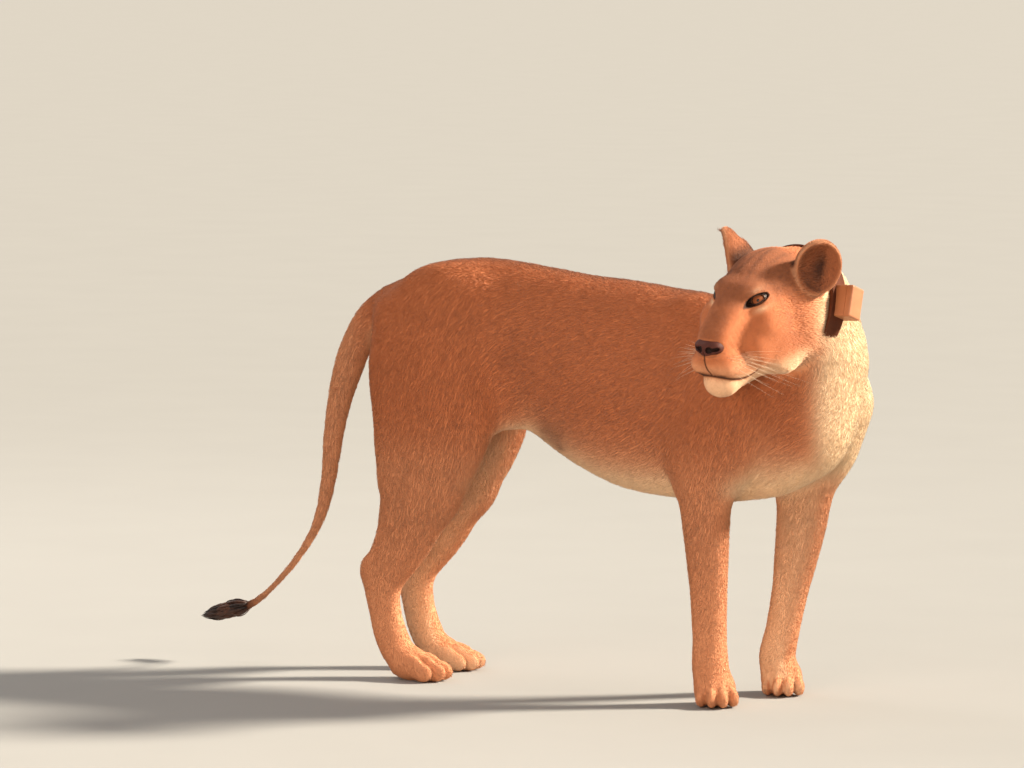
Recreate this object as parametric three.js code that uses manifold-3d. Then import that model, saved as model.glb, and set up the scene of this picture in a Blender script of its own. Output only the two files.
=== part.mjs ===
// A life-size standing lioness. Her head is turned to look back over her right shoulder, and she wears a
// tracking collar. Millimetres, +Z up, +X the way her hips point, +Y her left side. While she is modelled, zero
// is on the floor below her tail, and the last lines move it to the floor under the middle of her box.
import * as THREE from 'three';
import { mergeVertices } from 'three/addons/utils/BufferGeometryUtils.js';
import Module from 'manifold-3d';

const wasm = await Module();
wasm.setup();

const at = (x, y, z) => new THREE.Vector3(x, y, z);
const degrees = THREE.MathUtils.degToRad;
const UP = at(0, 0, 1);
const LEFT = 1;
const RIGHT = -1;
const SIDES = [[LEFT, 'left'], [RIGHT, 'right']];

// ---------------------------------------------------------------------------------- driving dimensions
const GAP = 0.3; // between nodes that touch
const HIP_HEIGHT = 900; // top of the croup
const WITHERS_HEIGHT = 846;
const BELLY_HEIGHT = 408; // underside of the chest, between the forelegs
const HOCK_HEIGHT = 222;
const HIND_TRACK = 90; // from the middle to each hind foot
const FORE_TRACK = 112; // from the chest's middle to each forefoot
const CHEST_TURN = degrees(-15); // the shoulders turn to her right after the head
const HEAD_SCALE = 1.02; // of a head 0.34 m long
const HEAD_YAW = degrees(-101);
const HEAD_PITCH = degrees(16); // nose down
const HEAD_ROLL = degrees(-4); // left ear lower
const EYES_AT = at(845, -310, 851); // the point midway between the eyes
const EYE_RADIUS = 19;
const TUFT_TIP = at(-596, 0, 92);
const TUFT = { locks: 13, width: 17, thick: 8, swell: 26, core: 0.46, seed: 11 };
const STRAP_WIDTH = 44;
const STRAP_THICKNESS = 5;
const COLLAR_STEPS = 40;
const NECK_MOST = 122;
const COLLAR_ROOM = 14; // kept clear of flesh above the strap
const PAW = { fore: { length: 124, width: 82, instep: 76 }, hind: { length: 136, width: 88, instep: 68 } };
const FLANK_FOLD = { forward: 187, out: 64, up: 588, size: [62, 24, 52] }; // loose skin before each thigh

// ---------------------------------------------------------------------------------- fields
// A field is a function of a point that is negative inside the flesh and close to the distance outside it.
// Each also has a centre and a reach, so that far-off ones are skipped.

function smoothMin(a, b, blend) {
  const h = Math.max(blend - Math.abs(a - b), 0) / blend;
  return Math.min(a, b) - h * h * blend * 0.25;
}

// How far a point lies outside an ellipsoid, to first order, from its offsets along the three half-axes.
function ellipsoidDistance(u, v, w, ru, rv, rw) {
  const a = u / ru;
  const b = v / rv;
  const c = w / rw;
  const k0 = Math.sqrt(a * a + b * b + c * c);
  const k1 = Math.sqrt((a * a) / (ru * ru) + (b * b) / (rv * rv) + (c * c) / (rw * rw));
  return k1 < 1e-9 ? -Math.min(ru, rv, rw) : (k0 * (k0 - 1)) / k1;
}

// An ellipsoid, turned by yaw about Z after pitch about Y (positive pitch lowers +X) and roll about X.
function lump(centre, [rx, ry, rz], { yaw = 0, pitch = 0, roll = 0, blend } = {}) {
  const turn = new THREE.Matrix4().makeRotationFromEuler(new THREE.Euler(roll, pitch, yaw, 'ZYX'));
  const e = turn.elements;
  const { x: cx, y: cy, z: cz } = centre;
  return {
    centre,
    reach: Math.max(rx, ry, rz),
    blend,
    distance(x, y, z) {
      const dx = x - cx;
      const dy = y - cy;
      const dz = z - cz;
      return ellipsoidDistance(
        e[0] * dx + e[1] * dy + e[2] * dz,
        e[4] * dx + e[5] * dy + e[6] * dz,
        e[8] * dx + e[9] * dy + e[10] * dz,
        rx, ry, rz,
      );
    },
  };
}

// A limb follows a smooth curve through its stations. Each station has a place, a half-depth measured towards
// "front" and a half-width across it.
function limb(stations, { front = at(1, 0, 0), steps = 4, blend } = {}) {
  const curve = new THREE.CatmullRomCurve3(stations.map((s) => s.at), false, 'centripetal');
  const sizes = new THREE.CatmullRomCurve3(stations.map((s) => at(s.deep, s.wide, 0)));
  const count = (stations.length - 1) * steps;
  const bones = [];
  for (let i = 0; i < count; i++) {
    const a = curve.getPoint(i / count);
    const b = curve.getPoint((i + 1) / count);
    const along = b.clone().sub(a);
    const length = along.length();
    along.divideScalar(length);
    const side = new THREE.Vector3().crossVectors(along, front).normalize();
    const fore = new THREE.Vector3().crossVectors(side, along);
    const from = sizes.getPoint(i / count);
    const to = sizes.getPoint((i + 1) / count);
    const widest = Math.max(from.x, from.y, to.x, to.y);
    bones.push({ a, along, length, side, fore, from, to, reach: length + widest });
  }
  const sphere = new THREE.Box3().setFromPoints(stations.map((s) => s.at)).getBoundingSphere(new THREE.Sphere());
  return {
    curve,
    centre: sphere.center,
    reach: sphere.radius + Math.max(...stations.map((s) => Math.max(s.deep, s.wide))),
    blend,
    distance(x, y, z) {
      let nearest = Infinity;
      for (const bone of bones) {
        const dx = x - bone.a.x;
        const dy = y - bone.a.y;
        const dz = z - bone.a.z;
        if (Math.hypot(dx, dy, dz) - bone.reach > nearest) continue;
        const s = dx * bone.along.x + dy * bone.along.y + dz * bone.along.z;
        const t = Math.min(Math.max(s, 0), bone.length);
        const h = t / bone.length;
        const deep = bone.from.x + (bone.to.x - bone.from.x) * h;
        const wide = bone.from.y + (bone.to.y - bone.from.y) * h;
        const u = dx * bone.fore.x + dy * bone.fore.y + dz * bone.fore.z;
        const v = dx * bone.side.x + dy * bone.side.y + dz * bone.side.z;
        nearest = Math.min(nearest, ellipsoidDistance(u, v, s - t, deep, wide, Math.min(deep, wide)));
      }
      return nearest;
    },
  };
}

const farFrom = (field, x, y, z) => Math.hypot(x - field.centre.x, y - field.centre.y, z - field.centre.z)
  - field.reach;

// Flesh that runs together, with creases filled to about the blend.
function fused(parts, blend) {
  const box = new THREE.Box3();
  for (const p of parts) {
    box.union(new THREE.Box3().setFromCenterAndSize(p.centre, at(2, 2, 2).multiplyScalar(p.reach)));
  }
  const sphere = box.getBoundingSphere(new THREE.Sphere());
  return {
    centre: sphere.center,
    reach: sphere.radius,
    distance(x, y, z) {
      let d = Infinity;
      for (const p of parts) {
        const soft = p.blend ?? blend;
        if (farFrom(p, x, y, z) < d + soft) d = smoothMin(d, p.distance(x, y, z), soft);
      }
      return d;
    },
  };
}

// The first field with the others hollowed out of it, with rounded edges.
function hollowed(body, cuts, rounding) {
  return {
    ...body,
    distance(x, y, z) {
      let d = body.distance(x, y, z);
      for (const c of cuts) {
        const soft = c.blend ?? rounding;
        if (farFrom(c, x, y, z) < soft - d) d = -smoothMin(-d, c.distance(x, y, z), soft);
      }
      return d;
    },
  };
}

// A field that was made in a frame of its own, placed by that frame's matrix, which may scale it evenly.
function placed(field, matrix, blend = field.blend) {
  const m = matrix.clone().invert().elements;
  const scale = matrix.getMaxScaleOnAxis();
  return {
    centre: field.centre.clone().applyMatrix4(matrix),
    reach: field.reach * scale,
    blend,
    distance: (x, y, z) => scale * field.distance(
      m[0] * x + m[4] * y + m[8] * z + m[12],
      m[1] * x + m[5] * y + m[9] * z + m[13],
      m[2] * x + m[6] * y + m[10] * z + m[14],
    ),
  };
}

// The point moved on to the skin along the field's slope.
function onSkin(field, p, most) {
  const moved = p.clone();
  const step = 0.5;
  for (let i = 0; i < 3; i++) {
    const { x, y, z } = moved;
    const slope = at(
      field.distance(x + step, y, z) - field.distance(x - step, y, z),
      field.distance(x, y + step, z) - field.distance(x, y - step, z),
      field.distance(x, y, z + step) - field.distance(x, y, z - step),
    ).divideScalar(2 * step);
    const off = -field.distance(x, y, z) / Math.max(slope.lengthSq(), 0.05);
    moved.addScaledVector(slope, THREE.MathUtils.clamp(off, -most, most));
  }
  return moved;
}

// ---------------------------------------------------------------------------------- field to solid
// Field values on a grid. Blocks that lie far from the skin are filled with one value each.
function sampled(field, box, cell) {
  const size = box.getSize(at(0, 0, 0));
  const n = [size.x, size.y, size.z].map((s) => Math.ceil(s / cell) + 1);
  const values = new Float32Array(n[0] * n[1] * n[2]);
  const block = 5;
  const blockReach = block * cell * Math.sqrt(3) / 2;
  const place = (i, axis) => box.min.getComponent(axis) + i * cell;
  for (let k0 = 0; k0 < n[2]; k0 += block) {
    for (let j0 = 0; j0 < n[1]; j0 += block) {
      for (let i0 = 0; i0 < n[0]; i0 += block) {
        const half = (block - 1) / 2;
        const middle = field.distance(place(i0 + half, 0), place(j0 + half, 1), place(k0 + half, 2));
        const far = Math.abs(middle) > 1.8 * blockReach;
        for (let k = k0; k < Math.min(k0 + block, n[2]); k++) {
          for (let j = j0; j < Math.min(j0 + block, n[1]); j++) {
            for (let i = i0; i < Math.min(i0 + block, n[0]); i++) {
              const rim = !i || !j || !k || i === n[0] - 1 || j === n[1] - 1 || k === n[2] - 1;
              const d = far ? middle : field.distance(place(i, 0), place(j, 1), place(k, 2));
              values[i + n[0] * (j + n[1] * k)] = rim ? Math.max(d, 0.01) : d || 1e-6;
            }
          }
        }
      }
    }
  }
  return { values, n };
}

// Where two inside corners of a grid face meet two outside ones crosswise, the skin would touch itself along an
// edge. One outside corner is taken in at each such face, until none is left.
function untouched(values, strides) {
  for (let changed = true; changed;) {
    changed = false;
    for (let axis = 0; axis < 3; axis++) {
      const [u, v] = [strides[axis], strides[(axis + 1) % 3]];
      for (let i = 0; i < values.length - u - v; i++) {
        const inside = values[i] < 0;
        if (inside !== values[i + u + v] < 0) continue;
        if (inside === values[i + u] < 0 || inside === values[i + v] < 0) continue;
        const [a, b] = inside ? [i + u, i + v] : [i, i + u + v];
        values[values[a] < values[b] ? a : b] = -0.01;
        changed = true;
      }
    }
  }
}

// A closed net of quads round the field inside a box: one vertex in each cell that the skin crosses.
function surfaceNet(field, box, cell) {
  const { values, n } = sampled(field, box, cell);
  const strides = [1, n[0], n[0] * n[1]];
  untouched(values, strides);
  const corner = (bits) => (bits & 1) * strides[0] + ((bits >> 1) & 1) * strides[1] + (bits >> 2) * strides[2];
  const vertexOf = new Map();
  const points = [];
  for (let k = 0; k < n[2] - 1; k++) {
    for (let j = 0; j < n[1] - 1; j++) {
      for (let i = 0; i < n[0] - 1; i++) {
        const base = i + j * strides[1] + k * strides[2];
        let crossings = 0;
        const sum = [0, 0, 0];
        for (let c = 0; c < 8; c++) {
          for (let axis = 0; axis < 3; axis++) {
            if (c & (1 << axis)) continue;
            const a = values[base + corner(c)];
            const b = values[base + corner(c | (1 << axis))];
            if (a < 0 === b < 0) continue;
            crossings++;
            for (let m = 0; m < 3; m++) sum[m] += m === axis ? a / (a - b) : (c >> m) & 1;
          }
        }
        if (!crossings) continue;
        vertexOf.set(base, points.length);
        const inside = at(...sum).divideScalar(crossings);
        points.push(inside.add(at(i, j, k)).multiplyScalar(cell).add(box.min));
      }
    }
  }
  const triangles = [];
  for (let axis = 0; axis < 3; axis++) {
    const [s, u, v] = [strides[axis], strides[(axis + 1) % 3], strides[(axis + 2) % 3]];
    for (let i = u + v; i < values.length - s; i++) {
      const inside = values[i] < 0;
      if (inside === values[i + s] < 0) continue;
      const quad = [i - u - v, i - v, i, i - u].map((q) => vertexOf.get(q));
      const [a, b, c, d] = inside ? quad : quad.reverse();
      triangles.push([a, b, c], [a, c, d]);
    }
  }
  return { points, triangles };
}

// The planes that meet at a vertex, added up as a quadric: the squared distance to all of them.
function addPlanes(quadric, normal, offset, weight) {
  const { x, y, z } = normal;
  const terms = [x * x, x * y, x * z, x * offset, y * y, y * z, y * offset, z * z, z * offset, offset * offset];
  terms.forEach((term, i) => { quadric[i] += term * weight; });
}

function planeError(q, { x, y, z }) {
  return q[0] * x * x + q[4] * y * y + q[7] * z * z + q[9]
    + 2 * (q[1] * x * y + q[2] * x * z + q[5] * y * z + q[3] * x + q[6] * y + q[8] * z);
}

// The smallest entry first.
class Queue {
  entries = [];

  add(entry) {
    const all = this.entries;
    let i = all.push(entry) - 1;
    for (let up = (i - 1) >> 1; i > 0 && all[up].cost > all[i].cost; up = (i - 1) >> 1) {
      [all[up], all[i]] = [all[i], all[up]];
      i = up;
    }
  }

  take() {
    const all = this.entries;
    const first = all[0];
    const last = all.pop();
    if (!all.length) return first;
    all[0] = last;
    for (let i = 0, least = -1; least !== i;) {
      if (least >= 0) {
        [all[least], all[i]] = [all[i], all[least]];
        i = least;
      }
      least = i;
      for (const child of [2 * i + 1, 2 * i + 2]) {
        if (child < all.length && all[child].cost < all[least].cost) least = child;
      }
    }
    return first;
  }
}

// Thins a closed net down to a number of triangles by joining the ends of the edges that matter least. An edge
// goes only where its ends share two neighbours and no face turns over, so the surface stays closed.
function thinned({ points, triangles }, target) {
  const evenness = 2e-3; // a little pull towards even triangles
  const faces = triangles.map((t) => t.slice());
  const around = points.map(() => new Set());
  const quadrics = points.map(() => new Float64Array(10));
  const stamps = new Uint32Array(points.length);
  const queue = new Queue();
  const normalOf = (a, b, c) => b.clone().sub(a).cross(c.clone().sub(a));
  faces.forEach((f, i) => {
    f.forEach((v) => around[v].add(i));
    const normal = normalOf(...f.map((v) => points[v]));
    const area = normal.length();
    if (area < 1e-9) return;
    normal.divideScalar(area);
    f.forEach((v) => addPlanes(quadrics[v], normal, -normal.dot(points[f[0]]), area));
  });

  function offer(a, b) {
    const q = quadrics[a].map((x, i) => x + quadrics[b][i]);
    const middle = points[a].clone().add(points[b]).multiplyScalar(0.5);
    const length = points[a].distanceTo(points[b]);
    const places = [middle, points[a].clone(), points[b].clone()];
    const matrix = new THREE.Matrix3().set(q[0], q[1], q[2], q[1], q[4], q[5], q[2], q[5], q[7]);
    if (Math.abs(matrix.determinant()) > 1e-6 * (q[0] + q[4] + q[7]) ** 3) {
      const best = at(-q[3], -q[6], -q[8]).applyMatrix3(matrix.invert());
      if (best.distanceTo(middle) < 2 * length) places.push(best);
    }
    const errors = places.map((p) => planeError(q, p));
    const least = Math.min(...errors);
    const place = places[errors.indexOf(least)];
    queue.add({ a, b, place, cost: least + evenness * length ** 4, stamp: stamps[a] + stamps[b] });
  }

  function neighbours(v) {
    const ring = new Set();
    for (const f of around[v]) faces[f].forEach((w) => ring.add(w));
    ring.delete(v);
    return ring;
  }

  function turnsOver(v, gone, place) {
    for (const f of around[v]) {
      if (faces[f].includes(gone)) continue;
      const before = normalOf(...faces[f].map((w) => points[w]));
      const after = normalOf(...faces[f].map((w) => (w === v ? place : points[w])));
      if (before.dot(after) < 0.2 * before.length() * after.length()) return true;
    }
    return false;
  }

  for (const f of faces) {
    f.forEach((a, i) => { if (a < f[(i + 1) % 3]) offer(a, f[(i + 1) % 3]); });
  }
  let left = faces.length;
  while (left > target && queue.entries.length) {
    const { a, b, place, stamp } = queue.take();
    if (!around[a].size || !around[b].size || stamp !== stamps[a] + stamps[b]) continue;
    const near = neighbours(a);
    if (!near.has(b) || [...neighbours(b)].filter((v) => near.has(v)).length !== 2) continue;
    if (turnsOver(a, b, place) || turnsOver(b, a, place)) continue;
    points[a] = place;
    quadrics[a] = quadrics[a].map((x, i) => x + quadrics[b][i]);
    for (const f of around[b]) {
      if (faces[f].includes(a)) {
        faces[f].forEach((v) => { if (v !== b) around[v].delete(f); });
        faces[f] = null;
        left--;
      } else {
        faces[f] = faces[f].map((v) => (v === b ? a : v));
        around[a].add(f);
      }
    }
    around[b].clear();
    stamps[a] += 1;
    neighbours(a).forEach((v) => offer(a, v));
  }
  return { points, triangles: faces.filter(Boolean) };
}

function solidOfNet({ points, triangles }) {
  const order = new Map();
  const triVerts = new Uint32Array(triangles.flat().map((v) => {
    if (!order.has(v)) order.set(v, order.size);
    return order.get(v);
  }));
  const vertProperties = new Float32Array([...order.keys()].flatMap((v) => points[v].toArray()));
  return new wasm.Manifold(new wasm.Mesh({ numProp: 3, vertProperties, triVerts }));
}

// The field's surface inside a box, thinned to a number of triangles. The box may lie in a frame of its own.
function sculpted(field, box, cell, triangles, frame = new THREE.Matrix4()) {
  const local = placed(field, frame.clone().invert());
  const net = surfaceNet(local, box, cell);
  const inner = box.clone().expandByScalar(-1.5 * cell);
  net.points = net.points.map((p) => (inner.containsPoint(p) ? onSkin(local, p, 0.3 * cell) : p));
  const thin = thinned(net, triangles);
  thin.points.forEach((p) => p.applyMatrix4(frame));
  return solidOfNet(thin);
}

function solidOf(geometry, matrix = new THREE.Matrix4()) {
  const bare = geometry.clone().applyMatrix4(matrix);
  bare.deleteAttribute('normal');
  bare.deleteAttribute('uv');
  const g = mergeVertices(bare, 1e-3);
  const triVerts = new Uint32Array(g.index.array);
  return new wasm.Manifold(new wasm.Mesh({ numProp: 3, vertProperties: g.attributes.position.array, triVerts }));
}

const largest = (solid) => solid.decompose().reduce((a, b) => (a.volume() > b.volume() ? a : b));

// A frame whose +X points along a normal, and whose +Z is as near up as it can be.
function frameAlong(point, normal, up = UP) {
  const x = normal.clone().normalize();
  const y = new THREE.Vector3().crossVectors(up, x).normalize();
  return new THREE.Matrix4().makeBasis(x, y, new THREE.Vector3().crossVectors(x, y)).setPosition(point);
}

// All that lies on the far side of a plane, past a shift: a big box whose face lies on the plane.
const FAR = 3000;
function beyond(point, normal, shift = 0) {
  const box = new THREE.BoxGeometry(FAR, FAR, FAR).translate(FAR / 2 + shift, 0, 0);
  return solidOf(box, frameAlong(point, normal, Math.abs(normal.z) > 0.9 * normal.length() ? at(1, 0, 0) : UP));
}

// A cell is where several half-spaces meet. Grown by half a gap it cuts a neighbour, and shrunk by half a gap it
// holds its own node, so that the two meet face to face.
function cell(...planes) {
  const shaped = (shift) => planes.map(([point, normal]) => beyond(point, normal, shift))
    .reduce((a, b) => a.intersect(b));
  return { inner: shaped(GAP / 2), outer: shaped(-GAP / 2) };
}

// ---------------------------------------------------------------------------------- trunk
const station = (x, y, z, deep, wide) => ({ at: at(x, y, z), deep, wide });
const between = (x, y, top, bottom, wide) => station(x, y, (top + bottom) / 2, (top - bottom) / 2, wide);

const trunk = limb([
  between(-84, 0, 836, 690, 58),
  between(-10, 0, HIP_HEIGHT - 18, 640, 90),
  between(95, 0, HIP_HEIGHT + 1, 590, 110),
  between(200, 0, HIP_HEIGHT - 9, 562, 112),
  between(300, -1, HIP_HEIGHT - 22, 514, 126),
  between(400, -5, HIP_HEIGHT - 31, 454, 142),
  between(500, -14, WITHERS_HEIGHT + 10, 416, 152),
  between(600, -27, WITHERS_HEIGHT, BELLY_HEIGHT, 152),
  between(700, -44, WITHERS_HEIGHT - 16, BELLY_HEIGHT, 144),
  between(800, -64, 800, BELLY_HEIGHT + 16, 134),
  between(880, -84, 752, 462, 112),
], { front: UP });

// ---------------------------------------------------------------------------------- legs
// Places on the chest, which has turned: forward of, to the left of and above its middle.
const CHEST = at(748, -50, 0);
const turned = (x, y, z) => at(x, y, z).applyAxisAngle(UP, CHEST_TURN);
const onChest = (forward, left, up) => turned(forward, left, up).add(CHEST);

function foreleg(side) {
  const step = side === LEFT ? 62 : -18; // how far forward the leg is set at the shoulder
  const lean = side === LEFT ? -84 : 2; // from there to the foot
  const stout = side === LEFT ? 1.1 : 1;
  const track = side * FORE_TRACK;
  const s = (forward, left, up, deep, wide) => ({ at: onChest(forward + step, left, up), deep, wide });
  const shape = { front: turned(1, 0, 0) };
  const shoulderBlade = limb([
    s(-100, side * 56, 792, 44, 34),
    s(-20, side * 92, 704, 72, 46),
    s(74, side * 110, 618, 76, 54),
  ], shape);
  const upperArm = limb([
    s(86, side * 108, 624, 74, 58),
    s(30, side * 118, 534, 88, 58),
    s(-20, track, 452, 70 * stout, 52),
  ], shape);
  const triceps = lump(onChest(-34 + step, side * 112, 560), [70, 44, 108], { yaw: CHEST_TURN, pitch: 0.1 });
  const forearm = limb([
    s(-14, track, 470, 64 * stout, 50),
    s(-10 + lean * 0.06, track, 390, 57 * stout, 48),
    s(-6 + lean * 0.25, track, 320, 50 * stout, 45),
    s(-2 + lean * 0.55, track, 220, 43, 39),
    s(lean * 0.8, track, 140, 40, 38),
    s(2 + lean, track, 80, 38, 40),
    s(8 + lean, track, 44, 35, 40),
  ], { ...shape, blend: 22 });
  return { bulk: [shoulderBlade, upperArm, triceps, forearm], foot: onChest(18 + step + lean, track, 0) };
}

function hindleg(side) {
  const back = side === LEFT ? -16 : 0; // the left leg is set a little further back
  const s = (x, out, z, deep, wide) => station(x + back, side * HIND_TRACK * out, z, deep, wide);
  const thigh = limb([
    s(10, 0.72, 770, 112, 60),
    s(30, 0.92, 670, 140, 72),
    s(48, 1.08, 560, 128, 66),
    s(28, 1.12, 480, 108, 58),
  ]);
  const haunch = limb([
    s(-88, 0.56, 775, 40, 40),
    s(-72, 0.88, 660, 52, 50),
    s(-58, 1.05, 540, 52, 48),
    s(-60, 1.05, 430, 42, 40),
  ]);
  const croup = lump(at(45 + back, side * 60, 800), [120, 62, 88]);
  const shank = limb([
    s(58, 1.12, 520, 88, 56),
    s(8, 1.1, 415, 98, 56),
    s(-17, 1.07, 360, 82, 50),
    s(-38, 1.04, 307, 70, 43),
    s(-66, 1.02, 259, 60, 37),
    s(-86, 1, HOCK_HEIGHT + 2, 52, 34),
    s(-95, 1, 188, 45, 32),
    s(-90, 1, 150, 40, 31),
    s(-78, 1, 104, 38, 32),
    s(-60, 1, 62, 35, 35),
    s(-46, 1, 40, 30, 37),
  ], { blend: 22 });
  const heel = lump(at(-123 + back, side * HIND_TRACK, HOCK_HEIGHT + 10), [30, 22, 34], { pitch: 0.35, blend: 22 });
  return { bulk: [thigh, haunch, croup, shank, heel], foot: at(back, side * HIND_TRACK, 0) };
}

// A paw in a frame of its own: +X the way the toes point, zero on the floor under its middle. Four toes stand
// round the front of the ball, the middle two further out.
function paw({ length, width, instep }) {
  const toes = [-0.75, -0.26, 0.26, 0.75].flatMap((across) => {
    const y = across * width * 0.5;
    const reach = length * (Math.abs(across) > 0.5 ? 0.34 : 0.48) - 26;
    const knuckle = lump(at(reach - 26, y * 0.88, 32), [30, width * 0.15, 24], { yaw: across * 0.2, pitch: 0.3 });
    const tip = lump(at(reach, y, 20), [29, width * 0.155, 21], { yaw: across * 0.35 });
    return [knuckle, tip];
  });
  const ball = lump(at(-length * 0.14, 0, 22), [length * 0.34, width * 0.43, 26]);
  const foot = lump(at(-length * 0.16, 0, instep * 0.5), [length * 0.3, width * 0.38, instep * 0.5], { pitch: 0.35 });
  return fused([ball, foot, ...toes], 8);
}

const LEG_ENDS = {
  fore: {
    make: foreleg, paw: PAW.fore, cut: 84, turn: { [LEFT]: -66, [RIGHT]: -62 },
  },
  hind: {
    make: hindleg, paw: PAW.hind, cut: 86, turn: { [LEFT]: 0, [RIGHT]: -5 },
  },
};

const LEGS = SIDES.flatMap(([side, name]) => Object.entries(LEG_ENDS).map(([end, { make, paw: size, cut, turn }]) => {
  const leg = make(side);
  const frame = new THREE.Matrix4().makeRotationZ(degrees(turn[side])).setPosition(leg.foot);
  return { ...leg, end, side, name, cut, frame, paw: placed(paw(size), frame, 20) };
}));

// ---------------------------------------------------------------------------------- tail
const round = (x, y, z, radius) => ({ at: at(x, y, z), deep: radius, wide: radius });
const TAIL = [
  round(-60, 0, 806, 36), round(-116, 0, 798, 36), round(-164, 0, 764, 36), round(-198, 0, 715, 35),
  round(-224, 0, 655, 34), round(-246, -2, 580, 28), round(-260, -4, 504, 24), round(-269, -6, 424, 20),
  round(-281, -8, 358, 17.5), round(-302, -8, 302, 15), round(-336, -8, 249, 13.5), round(-380, -6, 197, 12.5),
  round(-430, -3, 150, 12), round(-478, 0, 121, 12), round(-530, 0, 102, 11),
];
const tail = limb(TAIL, { front: at(0, 1, 0), steps: 2, blend: 30 });
const TAIL_CUTS = [0.2, 0.371, 0.631, 13 / 14]; // of its curve: where the base, middle, end and tuft begin

// ---------------------------------------------------------------------------------- neck
const headFrame = new THREE.Matrix4()
  .makeRotationFromEuler(new THREE.Euler(HEAD_ROLL, HEAD_PITCH, HEAD_YAW, 'ZYX'))
  .scale(at(1, 1, 1).multiplyScalar(HEAD_SCALE))
  .setPosition(EYES_AT);
const onHead = (x, y, z) => at(x, y, z).applyMatrix4(headFrame);
const headwards = (x, y, z) => at(x, y, z).transformDirection(headFrame);
const inHead = (frame) => headFrame.clone().multiply(frame);

const neck = limb([
  { at: at(764, -48, 660), deep: 176, wide: 136 },
  { at: at(862, -56, 704), deep: 150, wide: 132 },
  { at: at(886, -76, 772), deep: 118, wide: 110 },
  { at: onHead(-188, 0, -62), deep: 104, wide: 102 },
  { at: onHead(-120, 0, -36), deep: 94, wide: 92 },
], { front: UP });
const NECK_FOOT = [at(866, -72, 728), at(0.6, -0.25, 0.76)];
const NAPE = [onHead(-136, 0, -35), headwards(0.88, 0, 0.47)];

// ---------------------------------------------------------------------------------- head
// The head in its own frame: +X to the nose, +Y its left, +Z its crown, zero midway between the eyes.
const EYE = at(-2, 42, 4); // the left eyeball's middle
const EYE_OUTWARD = degrees(36); // the way it looks, away from straight ahead
const EYE_SLANT = degrees(16); // the outer corner is higher
const EYE_RAISE = 0.16;
const EAR = at(-120, 106, 40);
const EAR_TURN = { [LEFT]: degrees(37), [RIGHT]: degrees(-52) }; // the way each opens, from straight ahead
const paired = (make) => [make(LEFT), make(RIGHT)];

function eyeFrame(side) {
  const gaze = at(Math.cos(EYE_OUTWARD), side * Math.sin(EYE_OUTWARD), EYE_RAISE);
  const up = UP.clone().applyAxisAngle(gaze, side * EYE_SLANT);
  return frameAlong(at(EYE.x, side * EYE.y, EYE.z), gaze, up);
}

function earFrame(side) {
  const open = at(Math.cos(EAR_TURN[side]), Math.sin(EAR_TURN[side]), -0.08);
  return frameAlong(at(EAR.x, side * EAR.y, EAR.z), open, at(-0.05, side * 0.3, 0.95));
}

// A rounded cup in the ear's frame: +X the way it opens, +Z its height.
function earCup() {
  const shell = lump(at(0, 0, 0), [30, 49, 60]);
  const inside = lump(at(15, 2, 2), [30, 41, 50]);
  const opening = lump(at(66, 4, 4), [56, 90, 90]);
  return hollowed(shell, [inside, opening], 6);
}

function headFlesh() {
  const skull = [
    lump(at(-84, 0, 2), [92, 78, 70]),
    lump(at(-26, 0, 6), [58, 62, 46], { pitch: 0.2 }),
    ...paired((s) => lump(at(6, s * 28, 24), [28, 30, 20], { yaw: s * 0.3, pitch: 0.2, blend: 18 })),
    limb([
      station(-10, 0, -44, 82, 60),
      station(50, 0, -60, 64, 47),
      station(92, 0, -72, 48, 40),
      station(112, 0, -80, 38, 32),
    ], { front: UP }),
    limb([
      station(14, 0, 14, 20, 36),
      station(50, 0, 0, 19, 36),
      station(78, 0, -20, 19, 37),
      station(102, 0, -36, 17, 36),
      station(114, 0, -45, 14, 32),
    ], { front: UP, blend: 16 }),
  ];
  const jaw = [
    limb([
      station(-70, 0, -104, 54, 66),
      station(0, 0, -116, 47, 56),
      station(56, 0, -128, 40, 45),
      station(90, 0, -137, 35, 37),
    ], { front: UP }),
    lump(at(100, 0, -146), [27, 31, 27], { blend: 14 }),
  ];
  const cheeks = [
    lump(at(-104, 0, -64), [62, 90, 84]),
    ...paired((s) => lump(at(-24, s * 52, -38), [62, 34, 42], { yaw: s * 0.4 })),
    ...paired((s) => lump(at(-6, s * 44, -78), [74, 34, 50], { yaw: s * 0.3, blend: 34 })),
    ...paired((s) => lump(at(-58, s * 50, -108), [70, 38, 56], { yaw: s * 0.25, blend: 30 })),
    ...paired((s) => lump(at(-118, s * 54, -86), [56, 48, 66], { yaw: s * 0.1, blend: 30 })),
  ];
  const lips = [
    ...paired((s) => lump(at(102, s * 26, -94), [36, 27, 29], { yaw: s * 0.18, blend: 12 })),
    ...paired((s) => lump(at(64, s * 35, -102), [44, 22, 28], { yaw: s * -0.16, blend: 16 })),
  ];
  const eyes = [
    ...paired((s) => lump(at(EYE.x, s * EYE.y, EYE.z), [23, 23, 22], { blend: 12 })),
  ];
  return fused([...skull, ...jaw, ...cheeks, ...lips, ...eyes], 20);
}

const headField = fused([
  headFlesh(),
  ...paired((s) => placed(earCup(), earFrame(s), 14)),
], 14);

// ---------------------------------------------------------------------------------- whole body
// The head runs into the neck but not into the shoulder that it is held over.
function fleshWith(headPart) {
  const limbs = LEGS.flatMap((leg) => [...leg.bulk, leg.paw]);
  const { forward, out, up, size } = FLANK_FOLD;
  const folds = SIDES.map(([side]) => lump(at(forward, side * out, up), size));
  const below = fused([trunk, neck, tail, ...limbs, ...folds], 40);
  return fused([below, fused([neck, placed(headPart, headFrame)], 34)], 4);
}
const body = fleshWith(headField);

const boxOf = (x0, y0, z0, x1, y1, z1) => new THREE.Box3(at(x0, y0, z0), at(x1, y1, z1));
const FLOOR = beyond(at(0, 0, 0), UP);
const reversed = ([point, normal]) => [point, normal.clone().negate()];

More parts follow.
